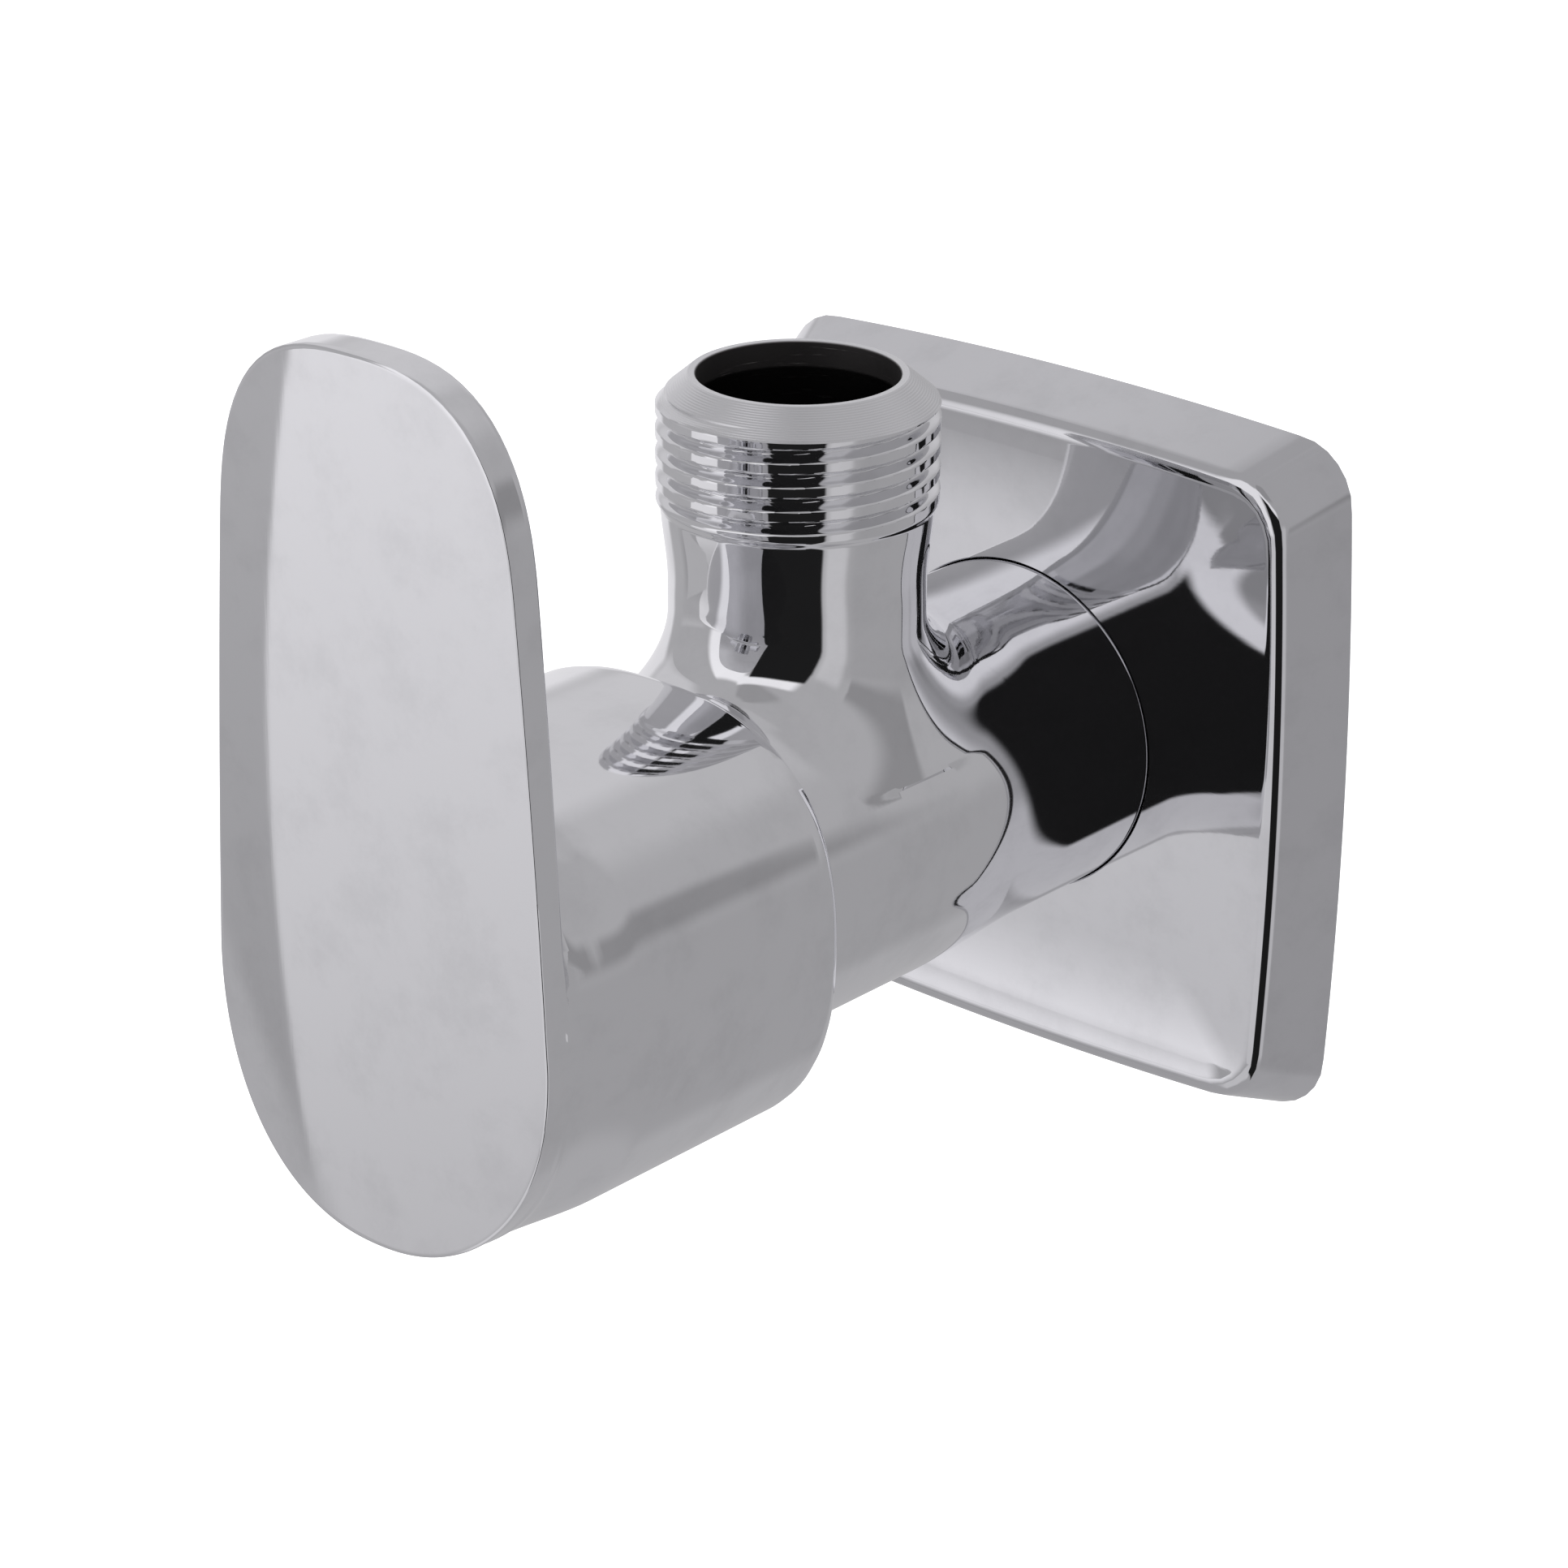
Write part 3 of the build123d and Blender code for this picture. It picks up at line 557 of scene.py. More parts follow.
@dataclass(frozen=True)
class Dull:
    """A material that isn't metal: ceramic, rubber, plastic or fibre."""

    name: str
    colour: tuple[float, float, float]
    dark: tuple[float, float, float]
    roughness: float
    scale: float
    depth: float

    def paint(self) -> Paint:
        """Make the material.

        Returns:
            The paint.
        """
        paint = Paint(self.name)
        grain = paint.noise(paint.position, self.scale, 5.0, 0.6)
        paint.set(Base_Color=paint.blend(grain.step(0.35, 0.7), self.colour, self.dark),
                  Roughness=self.roughness + 0.12 * grain)
        paint.set(Normal=paint.bump(grain, 0.5, self.depth))
        return paint


# ------------------------------------------------------------------ pipe thread
@dataclass(frozen=True)
class PipeThread:
    """A right-handed G 1/2 thread, its crests polished flat and its grooves narrow."""

    crest: float = 20.955 / 2
    pitch: float = 1.814
    depth: float = 0.80
    groove: float = 0.64

    def radius(self, angle: Array, along: Array) -> Array:
        """Radius of the thread's surface.

        The groove's centre climbs one pitch a turn. With h one at its centre and nought at its
        lips, the depth there is sin(pi/2 h^1.4), which rounds the lips and the root.

        Args:
            angle: Angle about the thread's axis, rising anticlockwise seen from its free end.
            along: Position along the axis towards the free end.

        Returns:
            Radius at each place.
        """
        turns = along / self.pitch - angle / (2.0 * np.pi)
        inward = np.clip(1.0 - np.abs(turns - np.round(turns)) / (self.groove / 2.0), 0.0, 1.0)
        return self.crest - self.depth * np.sin(np.pi / 2.0 * inward ** 1.4)


# ------------------------------------------------------------------ valve body
@dataclass
class ValveBody:
    """The forged body: barrel, outlet neck with its thread, and threaded inlet spigot.

    Sizes are in millimetres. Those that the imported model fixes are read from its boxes.
    """

    outlet_along: float = -31.4
    bore_r: float = 7.5
    bore_floor: float = 15.3
    passage_r: float = 5.0
    seat_land: float = 0.6
    cone_depth: float = 1.85
    neck_top_r: float = 10.15
    neck_waist_r: float = 9.6
    waist_drop: float = 6.0
    neck_fillet: float = 4.6
    barrel_rear_r: float = 13.46
    taper_outs: tuple[float, float] = (14.5, 27.0)
    thread_length: float = 8.0
    thread_overrun: float = 0.35
    mouth_lip: float = 0.12
    cone_rim: float = 0.2
    thread_rows: int = 148
    shoulder_along: float = -2.4
    relief_run: float = 0.1
    spigot_rows: int = 112
    spigot_chamfer: float = 1.1
    socket_r: float = 10.42
    socket_end: float = -39.0
    chamber_r: float = 9.3
    chamber_end: float = -17.0
    inlet_r: float = 6.0
    inlet_bevel: float = 0.5
    patch_angle: float = math.radians(62.0)
    patch_ends: tuple[float, float] = (-46.4, -15.6)
    patch_steps: tuple[int, int] = (86, 58)
    thread: PipeThread = field(default_factory=PipeThread)

    def __post_init__(self) -> None:
        """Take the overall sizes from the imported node."""
        low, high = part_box("valve_body")
        self.top = high[2] / MM
        self.front = low[1] / MM
        self.rear = high[1] / MM
        self.barrel_front_r = high[0] / MM
        self.thread_top = self.top - self.cone_depth
        self.thread_end = self.thread_top - self.thread_length
        self.neck_start = self.thread_end - self.thread_overrun

    def barrel_r(self, along: Array) -> Array:
        """Radius of the barrel, which narrows softly behind the outlet."""
        rise = smooth_step(-along, *self.taper_outs)
        return self.barrel_rear_r + (self.barrel_front_r - self.barrel_rear_r) * rise

    def neck_r(self, height: Array) -> Array:
        """Radius of the neck: widest under the thread, with a waist below."""
        rise = smooth_step(height, self.thread_end - self.waist_drop, self.thread_end + 0.5)
        return self.neck_waist_r + (self.neck_top_r - self.neck_waist_r) * rise

    def skin_field(self, points: Array) -> Array:
        """Signed distance to barrel and neck, joined by a rolled fillet."""
        across, along, height = points[..., 0], points[..., 1], points[..., 2]
        barrel = np.hypot(across, height) - self.barrel_r(along)
        neck = np.hypot(across, along - self.outlet_along) - self.neck_r(height)
        return round_union(barrel, neck, self.neck_fillet)

    def _patch_edge(self) -> tuple[Array, Array]:
        """Angle about the barrel and place along it, round the patch's edge, as the columns run."""
        wide, long = self.patch_steps
        near, far = self.patch_ends
        span = self.patch_angle
        angle = np.concatenate([np.full(long, span), np.linspace(span, -span, wide, endpoint=False),
                                np.full(long, -span), np.linspace(-span, span, wide, endpoint=False)])
        along = np.concatenate([np.linspace(near, far, long, endpoint=False), np.full(wide, far),
                                np.linspace(far, near, long, endpoint=False), np.full(wide, near)])
        return angle, along

    def _mouth_rows(self, turn: Array) -> Array:
        """Rows from the bore's floor up its wall to the mouth's narrow land."""
        floor = refine([(0.0, self.bore_floor), (self.bore_r, self.bore_floor)], 4.0)
        wall = refine([(self.bore_r, self.bore_floor), (self.bore_r, self.top - self.mouth_lip),
                       (self.bore_r + self.mouth_lip, self.top),
                       (self.bore_r + self.seat_land, self.top)], 5.0)[1:]
        return turned_grid(np.concatenate([floor, wall]), turn, "z", self.outlet_along)

    def _thread_rows(self, turn: Array) -> Array:
        """Rows down the cone and the thread: the lesser radius, which fades into the neck."""
        height = np.linspace(self.top, self.neck_start, self.thread_rows)[1:]
        tall, around = np.meshgrid(height, turn, indexing="ij")
        cone_start = self.bore_r + self.seat_land
        cone_run = self.thread.crest - self.cone_rim - cone_start
        cone = cone_start + (self.top - tall) * cone_run / self.cone_depth
        fade = smooth_step(tall, self.thread_end + 0.1, self.thread_end + 1.5)
        grooved = self.thread.crest - (self.thread.crest - self.thread.radius(around, tall)) * fade
        swell = smooth_step(tall, self.thread_end - 0.3, self.thread_end + 0.45)
        envelope = self.neck_r(tall) + (self.thread.crest - self.neck_r(tall)) * swell
        radius = np.minimum(np.minimum(cone, envelope), grooved)
        return about_z(radius, around, self.outlet_along, tall)

    def _blend_rows(self, turn: Array, edge_angle: Array, edge_along: Array) -> Array:
        """Rows down the neck, round the fillet and over the barrel as far as the patch's edge.

        The arc of a ball that rolls round the neck's foot gives the first guess, which then settles.

        Args:
            turn: Angle of each column about the outlet's axis.
            edge_angle: Angle about the barrel at which each column ends.
            edge_along: Place along the barrel at which each column ends.

        Returns:
            Grid of points that stops one row short of the patch's edge.
        """
        ball = self.neck_waist_r + self.neck_fillet
        ball_x, ball_y = ball * np.cos(turn), self.outlet_along + ball * np.sin(turn)
        ball_z = np.sqrt((self.barrel_r(ball_y) + self.neck_fillet) ** 2 - ball_x ** 2)
        centre = np.stack([ball_x, ball_y, ball_z], axis=-1)
        to_neck = np.stack([-np.cos(turn), -np.sin(turn), np.zeros_like(turn)], axis=-1)
        down = np.stack([-ball_x, np.zeros_like(ball_x), -ball_z], axis=-1)
        down /= np.linalg.norm(down, axis=-1, keepdims=True)
        drop = self.neck_start + shares(24)[:, None] * (ball_z - self.neck_start)
        neck = about_z(self.neck_r(drop), turn, self.outlet_along, drop)
        bend = np.arccos(np.clip(np.sum(to_neck * down, axis=-1), -1.0, 1.0))[None, :, None]
        share = shares(22)[1:, None, None]
        fillet = centre + self.neck_fillet * (np.sin((1.0 - share) * bend) * to_neck
                                              + np.sin(share * bend) * down) / np.sin(bend)
        foot = fillet[-1]
        foot_angle = np.arctan2(foot[:, 0], foot[:, 2])
        share = shares(15)[1:-1, None]
        angle = foot_angle + share * (edge_angle - foot_angle)
        along = foot[:, 1] + share * (edge_along - foot[:, 1])
        barrel = about_y(self.barrel_r(along), angle, along)
        return settle(np.concatenate([neck[1:], fillet, barrel]), self.skin_field)

    def _outlet_rows(self) -> Array:
        """Rows from the bore's floor, over the mouth, down the thread and neck, to the patch edge."""
        edge_angle, edge_along = self._patch_edge()
        edge = about_y(self.barrel_r(edge_along), edge_angle, edge_along)
        turn = np.unwrap(np.arctan2(edge[:, 1] - self.outlet_along, edge[:, 0]))
        return np.concatenate([self._mouth_rows(turn), self._thread_rows(turn),
                               self._blend_rows(turn, edge_angle, edge_along), edge[None]])

    def _far_angles(self) -> Array:
        """Angles round the part of the barrel that the patch leaves."""
        return np.linspace(self.patch_angle, 2.0 * np.pi - self.patch_angle, 101)

    def _ring_angles(self) -> Array:
        """Angles of the columns all round the barrel: over the patch, and round the rest."""
        over = np.linspace(-self.patch_angle, self.patch_angle, self.patch_steps[0] + 1)
        return np.concatenate([over, self._far_angles()[1:-1]])

    def _barrel_profile(self, start: float, end: float, step: float) -> Array:
        """Radius and position of the barrel from one place along it to another."""
        along = refine([(0.0, start), (0.0, end)], step)[:, 1]
        return np.stack([self.barrel_r(along), along], axis=-1)

    def _spigot(self) -> Array:
        """The inlet thread: the least of the thread's radius and the end's chamfer."""
        along = np.linspace(self.rear, self.shoulder_along + self.relief_run, self.spigot_rows)
        place_along, around = np.meshgrid(along, self._ring_angles(), indexing="ij")
        relief = self.thread.crest - self.thread.depth
        grooved = self.thread.radius(-around, place_along)
        tip = self.thread.crest - self.spigot_chamfer + (self.rear - place_along)
        near = smooth_step(place_along, self.shoulder_along + 0.9, self.shoulder_along + 1.6)
        radius = np.minimum(np.minimum(grooved, tip), relief + (self.thread.crest - relief) * near)
        return about_y(radius, around, place_along)

    def build(self) -> bpy.types.Object:
        """Make the body's skin and cut its waterways.

        Returns:
            The finished object.
        """
        near, far = self.patch_ends
        skin = Skin()
        skin.grid(self._outlet_rows(), wrap=True)
        along = np.linspace(near, far, self.patch_steps[1] + 1)
        skin.grid(about_y(self.barrel_r(along)[:, None], self._far_angles(), along[:, None]))
        front = self._barrel_profile(self.front, near, 1.0)
        face = refine([(0.0, self.front), (front[0, 0], self.front)], 2.0)
        spigot = self._spigot()
        root = float(np.hypot(spigot[-1, 0, 0], spigot[-1, 0, 2]))
        shoulder = refine([(self.barrel_r(self.shoulder_along), self.shoulder_along),
                           (root, self.shoulder_along),
                           (root, self.shoulder_along + self.relief_run)], 1.5)
        end = refine([(self.thread.crest - self.spigot_chamfer, self.rear), (0.0, self.rear)], 2.0)
        for profile in (np.concatenate([face, front[1:]]),
                        self._barrel_profile(far, self.shoulder_along, 0.6), shoulder, end):
            skin.grid(turned_grid(profile, self._ring_angles()), wrap=True)
        skin.grid(spigot, wrap=True)
        body = place(skin.mesh("valve_body_skin"), "valve_body_skin")
        self._cut_waterways(body)
        return body

    def _cut_waterways(self, body: bpy.types.Object) -> None:
        """Cut the headwork's socket, the chamber, the inlet bore and the passage."""
        over = 1.0
        mouth_r = self.inlet_r + self.inlet_bevel
        tool = turned_solid("socket", [
            (0.0, self.front - over), (self.socket_r, self.front - over),
            (self.socket_r, self.socket_end), (self.chamber_r, self.socket_end),
            (self.chamber_r, self.chamber_end), (self.inlet_r, self.chamber_end),
            (self.inlet_r, self.rear - self.inlet_bevel), (mouth_r, self.rear),
            (mouth_r, self.rear + over), (0.0, self.rear + over)])
        cut(body, tool, Cut.TAKE)
        cut(body, cylinder("passage", self.passage_r, (0.0, self.bore_floor + over), "z",
                           self.outlet_along), Cut.TAKE)
        finish_mesh(body.data, CREASE)


# ------------------------------------------------------------------ wall flange
@dataclass
class WallFlange:
    """The square flange: bowed sides, drafted rim, rounded front edge and a shallow dished face."""

    bow: float = 1.0
    corner_r: float = 4.2
    draft: float = 2.3
    depth: float = 6.0
    dish: float = 0.78
    dish_r: float = 2200.0
    cove_lift: float = 0.95
    cove_width: float = 10.5
    cove_power: float = 2.4
    edge_r: float = 1.1
    wall: float = 1.8
    hole_r: float = 13.51
    lip: float = 0.14
    collar_wall: float = 1.7
    collar_out: float = 1.0
    corner_crowd: float = 0.55
    rim_over: float = 0.2

    def __post_init__(self) -> None:
        """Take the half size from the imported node."""
        _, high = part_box("wall_flange")
        self.half = high[0] / MM
        corner = self.half - self.bow
        self.side_r = (corner ** 2 + self.bow ** 2) / (2.0 * self.bow)

    def outline_field(self, across: Array, height: Array, inset: Array | float = 0.0) -> Array:
        """Signed distance in plan to an outline inset by a distance, its corners as round as ever.

        Two pairs of arcs move in by the inset, and meet in corners of one radius.
        """
        side = np.hypot(np.abs(across) + self.side_r - self.half, height) - self.side_r
        top = np.hypot(np.abs(height) + self.side_r - self.half, across) - self.side_r
        return round_meet(side + inset, top + inset, self.corner_r)

    def face_out(self, across: Array, height: Array) -> Array:
        """Distance out of the face: a shallow bowl with a cove that lifts it towards the rim."""
        inward = np.clip(-self.outline_field(across, height, self.draft) / self.cove_width, 0.0, 1.0)
        cove = self.cove_lift * (1.0 - inward) ** self.cove_power
        return self.depth - self.dish + cove + (across ** 2 + height ** 2) / (2.0 * self.dish_r)

    def skin_field(self, points: Array) -> Array:
        """Signed distance: the drafted rim meets the dished face in a rounded edge."""
        across, out, height = points[..., 0], -points[..., 1], points[..., 2]
        lean = self.draft / self.depth
        rim = self.outline_field(across, height, lean * out) / math.hypot(1.0, lean)
        return round_meet(rim, out - self.face_out(across, height), self.edge_r)

    def _columns(self) -> Array:
        """Directions round the flange, closer together over the corners."""
        quarter = np.linspace(-1.0, 1.0, 72, endpoint=False)
        bend = quarter - self.corner_crowd * np.sin(np.pi * (quarter + 1.0)) / np.pi
        angles = (bend + 1.0) * (np.pi / 4.0)
        return np.concatenate([angles + turn * np.pi / 2.0 for turn in range(4)])

    def build(self) -> bpy.types.Object:
        """Make the flange.

        Returns:
            The finished object.
        """
        angle = self._columns()
        direction = np.stack([np.cos(angle), np.zeros_like(angle), np.sin(angle)], axis=-1)

        def reach(out: float, inset: float) -> Array:
            """Radius at which each column meets the rim at a distance out, less an inset."""
            radius = np.full_like(angle, self.half)
            lean = self.draft / self.depth * out + inset
            for _ in range(25):
                spot = radius[:, None] * direction
                radius = radius - self.outline_field(spot[:, 0], spot[:, 2], lean)
            return radius

        def row(radius: Array | float, out: Array | float) -> Array:
            """One row of points from radii and distances out."""
            ring = np.broadcast_to(np.asarray(radius, dtype=float), angle.shape)
            points = ring[:, None] * direction
            points[:, 1] = -np.asarray(out, dtype=float)
            return points

        face_out = self.depth - self.dish
        brow = self.depth + self.rim_over
        edge = reach(brow, 0.0)
        rows = []
        for share in 1.0 - (1.0 - shares(84)) ** 1.25:
            radius = (self.hole_r + self.lip) + share * (edge - self.hole_r - self.lip)
            spot = row(radius, face_out)
            rows.append(row(radius, self.face_out(spot[:, 0], spot[:, 2])))
        for share in shares(36)[1:] ** 1.3:
            out = brow * (1.0 - share)
            rows.append(row(reach(out, 0.0), out))
        outer = settle(np.stack(rows), self.skin_field)
        outer[-1] = row(reach(0.0, 0.0), 0.0)
        lip = [row(self.hole_r, face_out - self.lip),
               row(self.hole_r + 0.3 * self.lip, face_out - 0.3 * self.lip)]
        ceiling = face_out - self.wall
        collar = self.hole_r + self.collar_wall
        inner = [row(reach(0.0, self.wall), 0.0)]
        inner += [row(reach(ceiling * share, self.wall), ceiling * share) for share in (0.35, 0.7, 1.0)]
        inner += [row(collar + share * (reach(ceiling, self.wall) - collar), ceiling)
                  for share in (0.66, 0.33, 0.0)]
        inner += [row(collar, self.collar_out), row(self.hole_r, self.collar_out),
                  row(self.hole_r, face_out - self.lip)]
        skin = Skin()
        skin.grid(np.concatenate([np.stack(lip), outer, np.stack(inner)]), wrap=True)
        return place(skin.mesh("wall_flange_skin"), "wall_flange_skin")


# ------------------------------------------------------------------ lever handle
@dataclass
class LeverHandle:
    """The cast handle: a flattened round knob that runs out into an upright blade."""

    knob_half: float = 17.45
    knob_waist: float = 16.1
    knob_top: float = 16.0
    knob_bottom: float = 17.4
    knob_power: float = 2.45
    knob_setback: float = 2.0
    rear_round: float = 1.9
    rear_round_top: float = 1.3
    rear_flat: tuple[float, float] = (4.0, 14.0)
    end_share: float = 0.82
    blade_half: float = 16.05
    blade_taper: float = 0.045
    blade_curve: float = 0.00055
    blade_cap: float = 15.0
    cap_power: float = 2.75
    foot_power: float = 2.2
    blade_thick: float = 2.35
    crown_r: float = 115.0
    face_edge: float = 0.16
    back_edge: float = 0.6
    crease: float = 1.7
    crease_least: float = 0.12
    crease_rise: tuple[float, float] = (-1.0, 13.0)
    flare_outs: tuple[float, float] = (9.5, 3.1)
    cavity_r: float = 14.4
    post_r: float = 8.95
    insert_r: float = 6.15
    boss_r: float = 4.5

    def __post_init__(self) -> None:
        """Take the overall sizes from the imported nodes."""
        low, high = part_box("handle")
        self.top = high[2] / MM
        self.foot = -low[2] / MM
        self.face = low[1] / MM
        self.rear = high[1] / MM
        self.blade_rear = self.face + self.blade_half ** 2 / (2.0 * self.crown_r) + self.blade_thick
        insert_low, insert_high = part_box("spline_insert")
        self.insert_span = (insert_low[1] / MM, insert_high[1] / MM)
        screw_low, screw_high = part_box("grub_screw")
        self.screw_along = (screw_low[1] + screw_high[1]) / 2.0 / MM
        self.screw_r = (screw_high[0] - screw_low[0]) / 2.0 / MM

    def side_half(self, height: Array) -> Array:
        """Half width of the blade's long sides at a height."""
        rise = np.maximum(height, 0.0)
        return self.blade_half - self.blade_taper * rise - self.blade_curve * rise ** 2

    def blade_gauge(self, across: Array, height: Array) -> Array:
        """Blade outline as a gauge that is 1 on it: superellipse ends and straight sides."""
        cap_base = self.top - self.blade_cap
        wide = np.abs(across) / self.side_half(height)
        over = np.maximum(height - cap_base, 0.0) / self.blade_cap
        under = np.maximum(-height, 0.0) / self.foot
        upper = (wide ** self.cap_power + over ** self.cap_power) ** (1.0 / self.cap_power)
        lower = (wide ** self.foot_power + under ** self.foot_power) ** (1.0 / self.foot_power)
        return np.where(height > 0.0, upper, lower)

    def knob_gauge(self, across: Array, along: Array, height: Array) -> Array:
        """Knob section as a gauge that is 1 on it, drawn in towards the face."""
        start, end = self.flare_outs
        ease = smooth_step(-along, -self.face - start, -self.face - end)
        half = self.knob_half + (self.knob_waist - self.knob_half) * ease
        bottom = self.knob_bottom + (self.foot - self.knob_bottom) * ease
        tall = np.where(height > 0.0, self.knob_top, bottom)
        power = self.knob_power + (self.foot_power - self.knob_power) * ease
        return ((np.abs(across) / half) ** power + (np.abs(height) / tall) ** power) ** (1.0 / power)

    @staticmethod
    def _distance(gauge: Callable[[Array, Array], Array], across: Array, height: Array) -> Array:
        """Distance from a gauge: how far it is off 1, over the length of its slope."""
        slope = slope_of(np.stack([across, height], axis=-1), lambda at: gauge(at[..., 0], at[..., 1]))
        return (gauge(across, height) - 1.0) / np.maximum(np.hypot(slope[..., 0], slope[..., 1]), 0.02)

    def skin_field(self, points: Array) -> Array:
        """Signed distance: the knob ends inside the crowned blade and joins its back in a crease."""
        across, along, height = points[..., 0], points[..., 1], points[..., 2]
        face = self.face - along + across ** 2 / (2.0 * self.crown_r)
        outline = self._distance(self.blade_gauge, across, height)
        blade = round_meet(round_meet(outline, face, self.face_edge), along - self.blade_rear,
                           self.back_edge)
        section = self._distance(lambda x, z: self.knob_gauge(x, along, z), across, height)
        flat = smooth_step(height, *self.rear_flat)
        rear_round = self.rear_round + (self.rear_round_top - self.rear_round) * flat
        knob = round_meet(np.maximum(section, face + self.knob_setback), along - self.rear,
                          rear_round)
        rise = smooth_step(height, *self.crease_rise)
        crease = self.crease * (self.crease_least + (1.0 - self.crease_least) * rise)
        return round_union(knob, blade, crease)

    def _outer(self) -> Array:
        """Rows from the rear end's middle, along the knob, up the blade's back and over its face."""
        turn = np.linspace(0.0, 2.0 * np.pi, 336, endpoint=False)
        wide, tall = np.cos(turn), np.sin(turn)
        height_knob = np.where(tall > 0.0, self.knob_top, self.knob_bottom) * tall
        knob = np.stack([self.knob_half * wide, height_knob], axis=-1)
        # Each column's place on the blade's outline: the foot keeps the knob's direction, and the
        # knob's top fans out up the blade's sides and over its end
        cap_base = self.top - self.blade_cap
        rim = np.where((tall > 0.0)[:, None], self._upper_outline(turn, cap_base), knob)
        rim = settle(rim, lambda spots: self.blade_gauge(spots[:, 0], spots[:, 1]) - 1.0, rounds=8,
                     reach=math.inf)
        spine = np.stack([np.zeros_like(turn), np.clip(rim[:, 1], -2.0, cap_base)], axis=-1)
        front = self.face + rim[:, 0] ** 2 / (2.0 * self.crown_r)

        def rows(start: Array, end: Array, along_start: Array | float, along_end: Array | float,
                 count: int, ease: float = 1.0) -> Array:
            """Rows between two outlines at two places along the axis."""
            share = (shares(count + 1)[1:] ** ease)[:, None]
            plan = start[None] + share[..., None] * (end - start)[None]
            along = along_start + share * (np.asarray(along_end) - along_start)
            return np.stack([plan[..., 0], np.broadcast_to(along, plan.shape[:2]), plan[..., 1]], axis=-1)

        centre = np.zeros_like(knob)
        start = rows(centre, centre, self.rear, self.rear, 1)
        inner = knob * self.end_share
        end_face = rows(centre, inner, self.rear, self.rear, 5)
        lip = rows(inner, knob, self.rear, self.rear, 10)
        side_end = self.blade_rear + self.back_edge
        side = rows(knob, knob, self.rear, side_end, 56, 1.15)
        foot = rows(knob, knob, side_end, self.blade_rear, 3)
        back = rows(knob, rim, self.blade_rear, self.blade_rear, 80)
        edge = rows(rim, rim, self.blade_rear, front, 14)
        face = rows(rim, spine, front, self.face, 44, 1.35)
        face[..., 1] = self.face + face[..., 0] ** 2 / (2.0 * self.crown_r)
        settled = settle(np.concatenate([lip, side, foot, back, edge, face[:-1]]), self.skin_field,
                         rounds=9, reach=0.8)
        return np.concatenate([start, end_face, settled, face[-1:]])

    def _upper_outline(self, turn: Array, cap_base: float) -> Array:
        """Points up the blade's right side, over its end and down its left side.

        Args:
            turn: Angle of each column, from 0 on the right to pi on the left.
            cap_base: Height at which the sides start to round over.

        Returns:
            Array of x and z, near the outline.
        """
        share = 1.0 - np.abs(turn / (np.pi / 2.0) - 1.0)
        cap_run = 1.45 * self.blade_cap
        path = (0.35 * share + 0.65 * share ** 2) * (cap_base + cap_run)
        bend = np.clip((path - cap_base) / cap_run, 0.0, 1.0) * np.pi / 2.0
        across = np.sign(np.cos(turn)) * self.side_half(np.minimum(path, cap_base)) * np.cos(bend)
        height = np.minimum(path, cap_base) + self.blade_cap * np.sin(bend)
        return np.stack([across, height], axis=-1)

    def build(self) -> bpy.types.Object:
        """Make the handle, hollow underneath, with its post, screw boss and screw hole.

        Returns:
            The finished object.
        """
        skin = Skin()
        skin.grid(self._outer(), wrap=True)
        handle = place(skin.mesh("lever_handle_skin"), "lever_handle_skin")
        insert_front, insert_rear = self.insert_span
        floor, over = insert_front - 0.6, 1.0
        tool = turned_solid("cavity", [(0.0, self.rear + over), (self.cavity_r, self.rear + over),
                                       (self.cavity_r, floor), (self.post_r, floor),
                                       (self.post_r, insert_rear), (0.0, insert_rear)], columns=160)
        cut(handle, tool, Cut.TAKE)
        cut(handle, cylinder("boss", self.boss_r, (-self.cavity_r - 0.6, -self.insert_r - 1.0), "z",
                             self.screw_along, 48), Cut.JOIN)
        cut(handle, cylinder("insert_seat", self.insert_r, (insert_front, insert_rear + over)), Cut.TAKE)
        cut(handle, cylinder("screw_hole", self.screw_r, (-self.foot - over, -self.insert_r + 0.5), "z",
                             self.screw_along, 48), Cut.TAKE)
        finish_mesh(handle.data, CREASE)
        return handle


